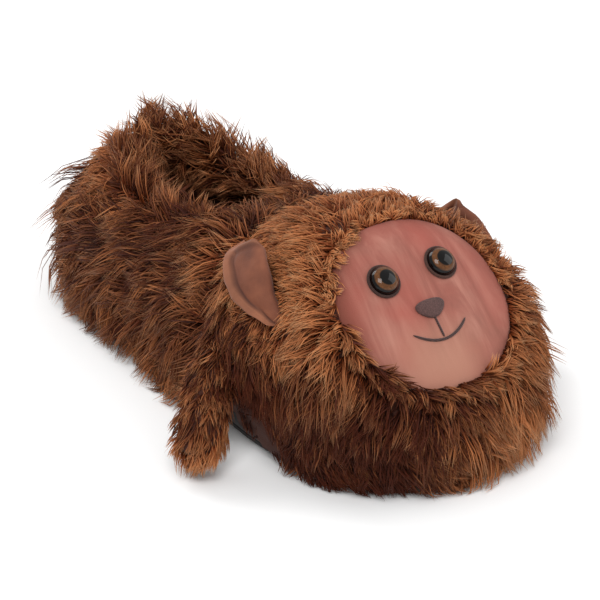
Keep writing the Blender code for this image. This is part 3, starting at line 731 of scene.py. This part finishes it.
def makeGripDots(rubber):
    # low dots in offset rows, clear of the sole's edge, each with its root sunk in the sheet
    pitch, radius, lift = outsoleLook["dotPitch"], outsoleLook["dotRadius"], outsoleLook["dotHeight"]
    room, sides, rowStep = outsoleLook["dotInset"], outsoleLook["dotSides"], outsoleLook["rowStep"]
    x, y = np.meshgrid(np.arange(-8, 9) * pitch, np.arange(-22, 23) * pitch * rowStep)
    x = x + (np.round(y / (pitch * rowStep)).astype(int) % 2) * pitch / 2
    x, y = x.ravel(), y.ravel()
    share = np.clip(alongSole(y), 0, 1)
    keep = (x > room - soleSide(share, 1)) & (x < soleSide(share, 2) - room)
    keep &= np.abs(y) < slipper["soleLength"] / 2 - room
    x, y = x[keep], y[keep]
    turn = turns(sides)
    rings = []
    for share, drop in ((0.9, -0.0001), (1.0, 0.35), (0.72, 1.0)):
        height = soleLift(y) + lift * (1 - drop) + 0.00005
        wide, deep = share * radius * np.cos(turn), share * radius * np.sin(turn)
        height = np.broadcast_to(height[:, None], (len(x), sides))
        rings.append(np.stack([x[:, None] + wide, y[:, None] + deep, height], -1))
    rings[0][..., 2] += 0.0002
    dots = np.stack(rings, 2)
    middles = np.stack([dots[:, :, 0].mean(axis=1), dots[:, :, 2].mean(axis=1)], 1)
    points = np.concatenate([dots.reshape(len(x), 3 * sides, 3), middles], 1)
    faces = []
    for i in range(sides):
        k = (i + 1) % sides
        faces += [[i * 3, k * 3, 3 * sides]]
        faces += [[i * 3 + j, k * 3 + j, k * 3 + j + 1, i * 3 + j + 1] for j in range(2)]
        faces += [[i * 3 + 2, k * 3 + 2, 3 * sides + 1]]
    each = 3 * sides + 2
    every = [[corner + each * n for corner in face] for n in range(len(x)) for face in faces]
    finish(makeMesh("gripDots", points, every, rubber))


def makeMidsole():
    cloth = wovenCloth("soleCloth", tint(16, 12, 11), tint(44, 36, 32), 420.0)
    base, tall = slipper["outsole"] + slipper["gap"], slipper["midsole"]
    t = np.linspace(0, 1, midsoleLook["sideRows"])
    grow = midsoleLook["bulge"] * (np.sin(math.pi * t) ** 0.6 * 1.1 - 0.35)
    rings = [soleRing(g, base + s * tall) for g, s in zip(grow, t)]
    finish(ringsToSole("midsoleWrap", rings, cloth), ["midsole"])


def footBed(grid, topFrom):
    # a heel cup and the ball's hollow, deeper in the middle, over the top rows alone
    bed = grid[:, topFrom:]
    share = alongSole(bed[..., 1])
    middle = np.clip(1 - (np.abs(bed[..., 0]) / insoleLook["halfBed"]) ** 2, 0, 1)
    heel = ease(0.02, 0.14, share) * (1 - ease(0.24, 0.42, share))
    depth = heel + 0.7 * ease(0.52, 0.66, share) * (1 - ease(0.8, 0.92, share))
    bed[..., 2] -= insoleLook["cup"] * depth * middle
    return grid


def makeInsole():
    nap = shortPile("insoleNap", tint(46, 24, 16), tint(92, 56, 40))
    inside = slipper["grow"] - slipper["wall"] - insoleLook["inset"]
    edge, top = insoleLook["edge"], soleTop + insoleLook["thick"]
    rings = [soleRing(inside - 0.0004, soleTop), soleRing(inside, soleTop + 0.0004)]
    for a in np.linspace(0, math.pi / 2, 6):
        rings.append(soleRing(inside - edge * (1 - np.cos(a)), top - edge * (1 - np.sin(a))))
    finish(ringsToSole("insolePad", rings, nap, relief=footBed), ["insole"])


rubber = gripRubber()
makeOutsole(rubber)
makeGripDots(rubber)
makeMidsole()
makeInsole()
print("sole ready")


# upper

upperLook = {"columns": 200, "rows": 34, "puff": 0.0006, "puffSize": 0.012, "crest": 0.0012}
heelFur = {
    "tufts": 980, "perTuft": 12, "tuftRadius": 0.0036, "length": 0.0255, "width": 0.00086,
    "start": 0.70, "end": -0.02, "sag": 0.12, "swirl": 0.70, "swirlSize": 0.045, "stray": 0.36,
    "pull": 0.84, "loose": 0.14, "sink": 0.0006, "tuftTone": 0.18, "strandTone": 0.14, "floor": 0.0008,
}
collarFur = dict(
    heelFur, tufts=430, perTuft=10, length=0.017, start=0.75, end=0.25, sag=0.0, stray=0.5, tuftTone=0.09,
)
rimFur = dict(
    heelFur, tufts=430, perTuft=11, tuftRadius=0.003, length=0.021, start=0.85, end=0.15, sag=0.05,
    stray=0.5, swirl=0.6,
)


def nearHead(points):
    return ease(-0.002, 0.012, headDepth(points))


def heelLay(points, normal):
    # back and down on the sides, out over the collar near the top
    share = (points[..., 2] - soleTop) / slipper["collarHeight"]
    down = -1.0 + 1.25 * ease(0.45, 1.05, share)
    return np.stack([0.25 * normal[..., 0], np.full_like(share, 0.85), down], -1)


def heelToneAndLight(points):
    # lightest along the top of the heel and at its back: painted light where the lamps fall
    y, z = points[..., 1], points[..., 2]
    # painted light on the top and on the back of the heel
    top = ease(0.064, 0.092, z) * (0.16 + 0.78 * ease(0.03, 0.09, y))
    behind = 0.22 * ease(0.09, 0.14, y) * ease(0.025, 0.05, z)
    return 0.42 - 0.14 * ease(0.02, 0.05, z) + np.maximum(top, behind) + 0.10 * softNoise(points, 0.05, 41)


def lowAndBack(points):
    # 1 near the floor, and 1 at the back of the heel
    return 1 - ease(0.012, 0.045, points[..., 2]), ease(0.03, 0.09, points[..., 1])


def heelStretch(points):
    # shorter where the back of the heel meets the floor
    low, back = lowAndBack(points)
    return 1.0 - 0.06 * low * back


def heelFlare(points):
    # the lowest fur fans out at the sides, and the back of the heel lies flatter
    low, back = lowAndBack(points)
    return low * (0.25 - 0.05 * back) - 0.08 * (1 - low) * back


def rimLay(points, normal):
    # up and back, and from both sides in over the opening
    x = points[..., 0]
    return np.stack([-14.0 * x, np.full_like(x, 0.40), np.full_like(x, 0.8)], -1)


def rimTone(points):
    return 0.27 + 0.06 * ease(-0.01, 0.03, points[..., 0])


def atBack(points):
    return ease(0.04, 0.08, points[..., 1])


def rimStretch(points):
    # short by the head, long over the back half of the opening
    return 0.55 + 0.45 * ease(0.0, 0.035, points[..., 1]) + 0.20 * atBack(points)


def collarLay(points, normal):
    return np.broadcast_to([0.0, 0.25, 1.0], points.shape)


def collarGrowth(points):
    return ease(0.045, 0.078, points[..., 2]) * nearHead(points)


def collarTone(points):
    return 0.02 + 0.10 * ease(0.062, 0.080, points[..., 2]) + 0.22 * atBack(points)


def collarStretch(points):
    return 1.0 + 0.6 * atBack(points)


def collarFlare(points):
    # the fur at the back stands out into the opening
    return 0.45 * atBack(points)


def makeUpper():
    columns, rows, wall = upperLook["columns"], upperLook["rows"], slipper["wall"]
    face = upperFace(columns, rows)
    normals = facing(face)
    lining = face - wall * normals
    level = unit(normals[:, 0] * np.array([1, 1, 0]))
    lining[:, 0] = face[:, 0] - wall * level
    puff = np.clip(upperLook["puff"] * softNoise(face, upperLook["puffSize"], 7), -0.0004, 0.0008)
    outside = face + (puff * ease(0, 4, np.arange(rows))[None, :])[..., None] * normals
    # three rings round the collar's edge join the outside to the lining
    crest = (outside[:, -1] + lining[:, -1]) / 2
    crest[:, 2] += upperLook["crest"]
    lift = np.array([0, 0, upperLook["crest"] / 2])
    halfway = [(side[:, -1] + crest) / 2 + lift for side in (outside, lining)]
    edge = np.stack([halfway[0], crest, halfway[1]], 1)
    grid = np.concatenate([outside, edge, lining[:, ::-1]], 1)
    cloth = makeSurface("upperCloth", grid, backing, closeRows=True)
    cloth.data.materials.append(shortPile("liningPile", tint(62, 33, 20), tint(112, 66, 44)))
    inner = np.tile(np.arange(grid.shape[1]) > rows + 1, columns).astype(int)
    cloth.data.polygons.foreach_set("material_index", inner)
    finish(cloth, ["upper"])

    for name, side, seed in (("heelFurOuter", -1, 11), ("heelFurInner", 1, 12)):
        def growth(points):
            return nearHead(points) * (side * points[..., 0] > 0)
        growCoat(name, "upper", face, normals, heelFur, heelLay, growth, heelToneAndLight,
                 seed=seed, stretch=heelStretch, flare=heelFlare)
    rim = np.concatenate([outside[:, -3:], edge, lining[:, ::-1][:, :3]], 1)
    growCoat("rimFur", "upper", rim, facing(rim), rimFur, rimLay, nearHead, rimTone,
             seed=14, stretch=rimStretch)
    top = slice(rows // 2, None)
    growCoat("collarFur", "upper", lining[:, top], -normals[:, top], collarFur, collarLay,
             collarGrowth, collarTone, seed=13, stretch=collarStretch, flare=collarFlare)
    print("upper ready")


makeUpper()


# head

headLook = {
    "columns": 144, "rows": 50, "back": math.radians(176), "puff": 0.0012, "puffSize": 0.02,
    "wideFacet": 0.00005,
}
headFur = dict(heelFur, tufts=1120, length=0.0235, width=0.00084, end=0.0, swirl=0.50, stray=0.28)
edgeFur = dict(
    headFur, tufts=300, perTuft=10, tuftRadius=0.0022, length=0.014, start=1.25, end=0.25, width=0.0009,
    stray=0.8,
)


def headGrid(start):
    # spokes round the face's axis to the back of the head, from this share of the panel's edge
    turn = turns(headLook["columns"], -1)
    edge = faceEdge(turn)[:, None] * start
    angle = edge + (headLook["back"] - edge) * np.linspace(0, 1, headLook["rows"])[None, :]
    return faceDirection(angle, np.broadcast_to(turn[:, None], angle.shape))


def skirtHeight(y):
    # the head's lower edge rises towards its back
    return head["skirt"] + head["skirtRise"] * ease(-0.5, 0.7, (y - headCentre[1]) / head["back"])


def awayFromFace(direction):
    return unit(direction - (direction @ faceAxis)[..., None] * faceAxis)


def headLay(points, normal):
    # away from the face's middle, pulled down by the strands' own weight on the lower half
    low = 1 - ease(0.03, 0.085, points[..., 2])
    return awayFromFace(unit(points - headCentre)) + (0.15 + 1.5 * low)[..., None] * -upward


def edgeLay(points, normal):
    # as on the head, but over the face's upper outer corner some strands lie inwards
    direction = unit(points - headCentre)
    corner = ease(0.0, 0.3, direction @ faceUp) * ease(0.0, 0.02, -points[..., 0])
    return headLay(points, normal) - (1.5 * corner)[..., None] * awayFromFace(direction)


def everywhere(points):
    return np.ones(points.shape[:-1])


def headToneAndLight(points):
    # golden over the forehead, partly the fur's colour and partly painted light from above; painted shade under
    # the chin's outer side and by the arms, and painted light under the chin's inner side, on the crown's outer
    # side and low down by the floor
    x, z = points[..., 0], points[..., 2]
    up = ease(0.052, 0.092, z)
    # painted shade under the chin's outer side; painted light under its inner side, on the crown's outer side,
    # and near the floor from the middle to the inner side
    near = 0.44 * (1 - ease(0.045, 0.085, z)) * (1 - ease(-0.05, 0.01, x))
    far = 0.24 * (1 - ease(0.055, 0.095, z)) * ease(-0.03, 0.02, x)
    outer = 0.14 * up * ease(-0.02, -0.065, x)
    low = 0.34 * (1 - ease(0.022, 0.055, z)) * ease(-0.045, 0.0, x)
    tone = 0.32 + 0.54 * up - near + far + outer + low + 0.09 * softNoise(points, 0.045, 42)
    # painted shade on the head's fur where the arms hang by it
    for side in (-1, 1):
        tone = tone - 0.3 * (1 - ease(0.014, 0.034, limbGap(points, armTable, side)))
    return tone


def headStretch(points):
    # short over the forehead, longest at the far side of the chin, tucked in where the skirt rises,
    # and shortest round the ears
    x, z = points[..., 0], points[..., 2]
    low = 1 - ease(0.03, 0.07, z)
    back = ease(-0.125, -0.085, points[..., 1])
    far = low * (1 - back) * ease(0.01, 0.05, x)
    near = 0.7 * ease(-0.005, -0.045, x)
    length = 1.0 - 0.42 * ease(0.075, 0.112, z) - 0.60 * low * np.maximum(back, near) + 0.22 * far
    for side, least, reach in ((-1, 0.26, 0.038), (1, 0.17, 0.044)):
        gap = limbGap(points, earTable, side)
        length = length * (least + (1 - least) * ease(0.014, reach, gap))
    return length


def headGrowth(low, high):
    # fur between two heights over the face's axis: none under the ears, denser round them, and
    # thin at the low side where the arm hangs
    def growth(points):
        above = unit(points - headCentre) @ faceUp
        share = (above >= low) * (above < high) * ease(-0.001, 0.003, footDepth(points))
        for side in (-1, 1):
            gap = limbGap(points, earTable, side)
            share = share * ease(0.004, 0.011, gap) * (1 + (1 - ease(0.015, 0.045, gap)))
        lowSide = (1 - ease(0.02, 0.055, points[..., 2])) * ease(-0.117, -0.080, points[..., 1])
        return share * (points[..., 2] > skirtHeight(points[..., 1])) * (1 - 0.8 * lowSide)
    return growth


def makeHead():
    direction = headGrid(0.0)
    skin = onHead(direction)
    puff = headLook["puff"] * np.clip(softNoise(skin, headLook["puffSize"], 9), -1, 1)
    behind = ease(0.9, 1.1, np.arccos(np.clip(direction @ faceAxis, -1, 1)) / 0.7)
    skin = skin + direction * puff[..., None] * behind[..., None]
    # the head sits over the foot part: what would be inside it is drawn up onto its surface
    skin = outOfFoot(skin, 0.0005)
    skin[..., 2] = np.maximum(skin[..., 2], skirtHeight(skin[..., 1]))
    cloth = makeSurface("headCloth", skin, backing)
    # the wide faces that bridge the foot part are shaded flat, because smooth shading blackens them
    facets = cloth.data.polygons
    facets.foreach_set("use_smooth", [facet.area < headLook["wideFacet"] for facet in facets])
    finish(cloth, ["head"])

    coat = onHead(headGrid(1.0))
    for name, low, high, seed in (("crownFur", 0.15, 2.0, 21), ("chinFur", -2.0, 0.15, 22)):
        growCoat(name, "head", coat, facing(coat), headFur, headLay, headGrowth(low, high), headToneAndLight,
                 seed=seed, stretch=headStretch)
    turn = turns(headLook["columns"], -1)
    band = [onHead(faceDirection(faceEdge(turn) * share, turn)) for share in (0.97, 1.0, 1.03, 1.06)]
    band = np.stack(band, 1)
    growCoat("edgeFur", "head", band, facing(band), edgeFur, edgeLay, everywhere, headToneAndLight,
             seed=23, stretch=headStretch)
    print("head ready")


makeHead()


# face

panelLook = {"columns": 144, "rows": 30, "roll": 9, "inset": 0.985}
eyeLook = {"diameter": 0.015, "height": 0.006, "spacing": 0.034, "rise": 0.010, "rim": 0.0008}
noseLook = {"width": 0.015, "height": 0.009, "thick": 0.0022, "drop": 0.009}
mouthLook = {"width": 0.030, "drop": 0.021, "curve": 0.006, "thread": 0.0007}


def facePoint(across, up, out):
    # point over the panel for a place on the face's own plane
    direction = unit(faceAxis * head["faceDepth"] + across[..., None] * faceSide + up[..., None] * faceUp)
    return onHead(direction, out)


def makePanel():
    turn = turns(panelLook["columns"], -1)
    edge = faceEdge(turn)
    share = np.sin(np.linspace(0, math.pi / 2, panelLook["rows"]))
    share[0] = 0.02
    gap, thick = slipper["gap"], head["panelThick"]
    # the back from the middle out, then the front from the edge in, rolled over at the edge
    parts = [(part, np.full(len(turn), gap)) for part in share]
    parts += [(part, gap + thick * (1 - part ** panelLook["roll"]) ** 0.5) for part in share[::-1]]
    rows = [onHead(faceDirection(edge * part * panelLook["inset"], turn), out) for part, out in parts]
    panel = makeSurface("facePatch", np.stack(rows, 1), faceVelour())
    step = unit(pointsOf(panel) - headCentre)
    angle = np.arccos(np.clip(step @ faceAxis, -1, 1))
    turnAt = np.arctan2(step @ faceUp, step @ faceSide)
    reach = angle / faceEdge(turnAt)
    # browner towards the edge, most at the outer side and least at the top; paler in the lower half
    top = 1 - 0.9 * ease(0.1, 0.75, -np.sin(turnAt))
    outer = ease(0.1, 0.8, -np.cos(turnAt))
    brown = (0.42 + 0.28 * outer) * ease(0.70, 1.0, reach) * top + 0.12 * outer * ease(0.3, 0.9, reach)
    setAttribute(panel, "rim", brown)
    middle = 1 - 0.8 * ease(0.10, 0.45, np.abs(step @ faceSide + 0.10))
    setAttribute(panel, "chin", 0.78 * ease(0.12, 0.55, -(step @ faceUp)) * middle)
    finish(panel, ["face_panel"])


def makeEyes():
    gloss = eyeGloss()
    felt = shortPile("eyeFelt", tint(40, 22, 16), tint(70, 42, 32))
    radius, tall, rim = eyeLook["diameter"] / 2, eyeLook["height"], eyeLook["rim"]
    for name, side in (("Right", -1), ("Left", 1)):
        aim = faceAxis * head["faceDepth"] + side * eyeLook["spacing"] / 2 * faceSide + eyeLook["rise"] * faceUp
        middle = unit(aim)
        near = 0.5 * eyeLook["diameter"] / head["faceDepth"]
        wide = onHead(unit(middle + near * faceSide)) - onHead(unit(middle - near * faceSide))
        high = onHead(unit(middle + near * faceUp)) - onHead(unit(middle - near * faceUp))
        normal = unit(np.cross(wide, high))
        right = unit(wide)
        up = np.cross(normal, right)
        turn = turns(48, -1)
        circle = radius * (np.cos(turn)[:, None] * right + np.sin(turn)[:, None] * up)
        # seated on the panel so that no point of the eye's back is inside it
        seat = 2 * slipper["gap"] + head["panelThick"]
        centre = onHead(middle, seat)
        back = np.vstack([centre[None, :], centre + circle])
        centre = centre + max(0.0, seat - headDepth(back).min()) * normal
        angle = np.linspace(0, math.pi / 2, 14)[:-1]
        shares = [(0.90, 0.0), (0.96, 0.02)] + [(np.cos(a) ** 0.9, 0.10 + 0.90 * np.sin(a)) for a in angle]
        rows = [centre + s * circle + h * tall * normal for s, h in shares]
        eye = makeSurface("eye" + name, np.stack(rows, 1), gloss, ends=(centre, centre + tall * normal))
        points = pointsOf(eye) - centre
        flat = points - (points @ normal)[:, None] * normal
        setAttribute(eye, "fromMiddle", np.linalg.norm(flat, axis=1) / radius)
        finish(eye, ["eye_" + name.lower()])
        ring = []
        for a in turns(10):
            out = 1.0 + rim * (0.6 + math.cos(a)) / radius
            ring.append(centre + circle * out + rim * (0.55 + 0.9 * math.sin(a)) * normal)
        finish(makeSurface("eyeRim" + name, np.stack(ring, 1), felt, closeRows=True))


def threadTube(name, line, radius, material):
    # round tube along a line, drawn in to a point at both ends
    along = unit(np.gradient(line, axis=0))
    side = unit(np.cross(along, unit(line - headCentre)))
    up = np.cross(side, along)
    thick = radius * np.sqrt(np.clip(1 - np.linspace(-1, 1, len(line)) ** 8, 0.02, 1))
    grid = line + thick[:, None] * circles(10, side, up)
    return makeSurface(name, grid, material, ends=(line[0], line[-1]))


def makeNoseAndMouth():
    felt = shortPile("noseFelt", tint(52, 34, 32), tint(96, 68, 64))
    turn = turns(40, -1)
    top = slipper["gap"] + head["panelThick"]
    rows = []
    for share, high in ((0.9, 0.0), (1.0, 0.25), (0.93, 0.62), (0.75, 0.88), (0.45, 1.0)):
        wide = np.sign(np.cos(turn)) * np.abs(np.cos(turn)) ** 0.85 * noseLook["width"] / 2 * share
        tall = np.sin(turn) * noseLook["height"] / 2 * share
        wide = wide * (1 + 0.35 * np.sin(turn))
        rows.append(facePoint(wide, tall - noseLook["drop"], top + 0.0001 + noseLook["thick"] * high))
    finish(makeSurface("softNose", np.stack(rows, 1), felt))
    thread = plainThread("mouthThread", tint(66, 36, 30), tint(36, 18, 15))
    t = np.linspace(-1, 1, 40)
    up = -mouthLook["drop"] + mouthLook["curve"] * (t**2 - 0.5)
    line = facePoint(t * mouthLook["width"] / 2, up, np.full(40, top + mouthLook["thread"] * 0.5))
    finish(threadTube("mouthLine", line, mouthLook["thread"], thread))
    t = np.linspace(0, 1, 14)
    start = -noseLook["drop"] - 0.42 * noseLook["height"]
    end = -mouthLook["drop"] - mouthLook["curve"] * 0.5 + 0.0009
    line = facePoint(np.zeros(14), start + (end - start) * t, np.full(14, top + mouthLook["thread"] * 0.4))
    finish(threadTube("lipLine", line, mouthLook["thread"] * 0.85, thread))


makePanel()
makeEyes()
makeNoseAndMouth()
print("face ready")


# ears and arms

earLook = {
    "width": 0.025, "thick": 0.012, "cup": 0.003, "columns": 56, "rings": 48, "bowl": 0.0021,
    "groove": 0.0014, "lip": 0.0012, "shoulder": 0.0060, "puff": 0.00035, "puffSize": 0.012,
}
armLook = {"width": 0.0195, "columns": 32, "rings": 40, "short": 3, "floor": 0.0015}
armFur = dict(
    headFur, tufts=330, perTuft=10, tuftRadius=0.0026, length=0.0115, width=0.0008, start=0.36, end=0.05,
    sag=0.05, swirl=0.25, swirlSize=0.04, stray=0.16, pull=0.75, sink=0.0005,
)


def makeEar(name, side):
    # flat oval sections along the ear's line; one face has a bowl that is sunk by two smooth steps,
    # inside a rolled rim that is broad at the top and narrow along the lower edge
    line, width = limbLine(earTable, side, earLook["rings"])
    along = unit(np.gradient(line, axis=0))
    out = squareTo(line - headCentre, along)
    across = np.cross(along, out)
    turn = turns(earLook["columns"])
    c, s = np.cos(turn)[:, None], np.sin(turn)[:, None]
    run = np.linspace(0, 1, earLook["rings"])[None, :]
    rootRound = np.sqrt(1 - np.clip(1 - run / 0.17, 0, 1) ** 2 * 0.94)
    half = earLook["width"] / 2 * np.maximum(width[None, :], 0.9 * (run < 0.3)) * rootRound
    half = half * (1 - 0.16 * ease(0.35, 0.9, run))
    flat = np.sign(c) * np.abs(c) ** 0.9 * half
    thick = s * earLook["thick"] / 2 * (0.75 + 0.25 * width[None, :]) * rootRound
    low = -side * c  # 1 at the ear's lower edge, -1 at the upper one
    face = ease(0.0, 0.3, s)
    cup = earLook["cup"] * (c**2 - 0.35) * face
    inside = ease(0.0, 0.20, 0.68 - 0.24 * run - low)
    under = ease(0.26, 0.36, run + 0.10 * low)
    groove = 4 * inside * (1 - inside) * ease(0.22, 0.42, run) * face
    creaseShade = 4 * under * (1 - under) * inside * face
    cup = cup - earLook["bowl"] * inside * under * face - earLook["groove"] * groove
    cup = cup + earLook["lip"] * ease(0.6, 0.9, low) * face
    grid = line + flat[..., None] * across + (thick + cup)[..., None] * out
    shoulder = earLook["shoulder"] * low * (1 - ease(0.0, 0.5, run))
    grid = grid - shoulder[..., None] * along
    tip = line[-1] + along[-1] * 0.24 * earLook["width"]
    extra = []
    for reach, share in ((0.45, 0.86), (0.8, 0.52)):  # two more rings round the tip off
        extra.append(line[-1] + (grid[:, -1] - line[-1]) * share + (tip - line[-1]) * reach)
    grid = np.concatenate([grid, np.stack(extra, 1)], 1)
    puff = earLook["puff"] * softNoise(grid, earLook["puffSize"], 51 + side)
    grid = grid + unit(grid - grid.mean(axis=0)) * puff[..., None]
    grid = outOfHead(grid, limbRoom)
    ear = makeSurface(name, grid, velour, ends=(None, tip))
    # painted shade in the groove and the crease round the bowl, and a painted highlight on the rolled rim
    # outside it
    for label, shade in (("grooveShade", 0.9 * groove + 0.5 * creaseShade), ("edge", 0.20 * (1 - inside * under) * face)):
        values = np.zeros(len(ear.data.vertices))
        shade = np.concatenate([shade, shade[:, -1:], shade[:, -1:]], 1).ravel()
        values[:len(shade)] = np.clip(shade, 0, 1)
        setAttribute(ear, label, values)
    finish(ear, ["ear_" + name[3:].lower()])


def makeArm(name, side):
    # round sections along the arm's line, then three rings that round its tip off
    rings, node = armLook["rings"], "arm_" + name[3:].lower()
    line, width = (part[:rings] for part in limbLine(armTable, side, rings + armLook["short"]))
    along = unit(np.gradient(line, axis=0))
    right = unit(np.cross(along, upward))
    up = np.cross(right, along)
    around = circles(armLook["columns"], right, up)
    radius = armLook["width"] / 2 * width
    grid = line + radius[:, None] * around
    for reach, share in ((0.35, 0.93), (0.62, 0.72), (0.76, 0.42)):
        ring = line[-1] + share * radius[-1] * around[:, -1] + reach * radius[-1] * along[-1]
        grid = np.concatenate([grid, ring[:, None]], 1)
    normal = np.concatenate([around, np.repeat(unit(around[:, -1:] + 0.8 * along[-1]), 3, axis=1)], 1)
    grid = outOfFoot(outOfHead(grid, limbRoom), limbRoom)
    grid[..., 2] = np.maximum(grid[..., 2], armLook["floor"])
    tip = line[-1] + 0.8 * radius[-1] * along[-1]
    tip[2] = max(tip[2], armLook["floor"])
    finish(makeSurface(name, grid, backing, ends=(None, tip)), [node])

    def lay(points, normal):
        near = np.linalg.norm(points[:, None, :] - line, axis=-1).argmin(1)
        return along[near] + 0.2 * -upward

    def tone(points):
        return 0.20 + 0.78 * ease(0.036, 0.016, points[..., 2])

    def growth(points):
        return ease(0.0, 0.006, headDepth(points))

    # the root's first ring lies against the head and bears no strands
    growCoat(name + "Fur", node, grid[:, 1:], normal[:, :-1], armFur, lay, growth, tone, seed=31 + side)


for name, side in (("Right", -1), ("Left", 1)):
    makeEar("ear" + name, side)
    makeArm("arm" + name, side)
print("ears and arms ready")


# floor, light and camera

studio = {
    "azimuth": -37.0, "elevation": 26.5, "distance": 1.6, "pixels": 600, "scale": 1960,
    "target": (0.006, -0.012, 0.040), "world": 0.8, "floor": 20.0, "floorGrey": 0.86,
    "sensor": 36, "lampAim": (0, 0, 0.05),
    "lamps": [  # name, place, power in watts and size
        ("keyLamp", (-0.9, -0.9, 1.5), 22, 0.9),
        ("fillLamp", (1.2, -0.8, 0.9), 7, 1.1),
        ("backLamp", (-0.3, 1.3, 1.2), 9, 0.8),
    ],
}


def makeStudio():
    corners = np.array([[-1, -1, 0], [1, -1, 0], [1, 1, 0], [-1, 1, 0]]) * studio["floor"]
    material, tree, shader = startMaterial("paleFloor", 0.9)
    shader.inputs["Base Color"].default_value = grey(studio["floorGrey"])
    floor = makeMesh("floor", corners, [[0, 1, 2, 3]], material, smooth=False, recalc=False)
    world = bpy.data.worlds.new("studioAir")
    bpy.context.scene.world = world
    world.use_nodes = True
    sky = world.node_tree.nodes["Background"]
    sky.inputs["Color"].default_value = white
    sky.inputs["Strength"].default_value = studio["world"]
    for name, spot, power, size in studio["lamps"]:
        lamp = bpy.data.lights.new(name, "AREA")
        lamp.energy, lamp.size = power, size
        holder = addObject(name, lamp)
        holder.location = spot
        holder.rotation_mode = "QUATERNION"
        aim = -np.array(spot) + np.array(studio["lampAim"])
        holder.rotation_quaternion = Vector(aim).to_track_quat("-Z", "Y")


def makeCamera():
    a, e = math.radians(studio["azimuth"]), math.radians(studio["elevation"])
    back = Vector((math.sin(a) * math.cos(e), -math.cos(a) * math.cos(e), math.sin(e)))
    view = bpy.data.cameras.new("view")
    view.sensor_width = studio["sensor"]
    view.lens = studio["scale"] * studio["distance"] * studio["sensor"] / studio["pixels"]
    view.clip_end = 20
    holder = addObject("view", view)
    holder.location = Vector(studio["target"]) + back * studio["distance"]
    holder.rotation_mode = "QUATERNION"
    holder.rotation_quaternion = (-back).to_track_quat("-Z", "Y")
    bpy.context.scene.camera = holder


makeStudio()
makeCamera()
bpy.context.scene.view_settings.view_transform = "Standard"
print("studio ready")
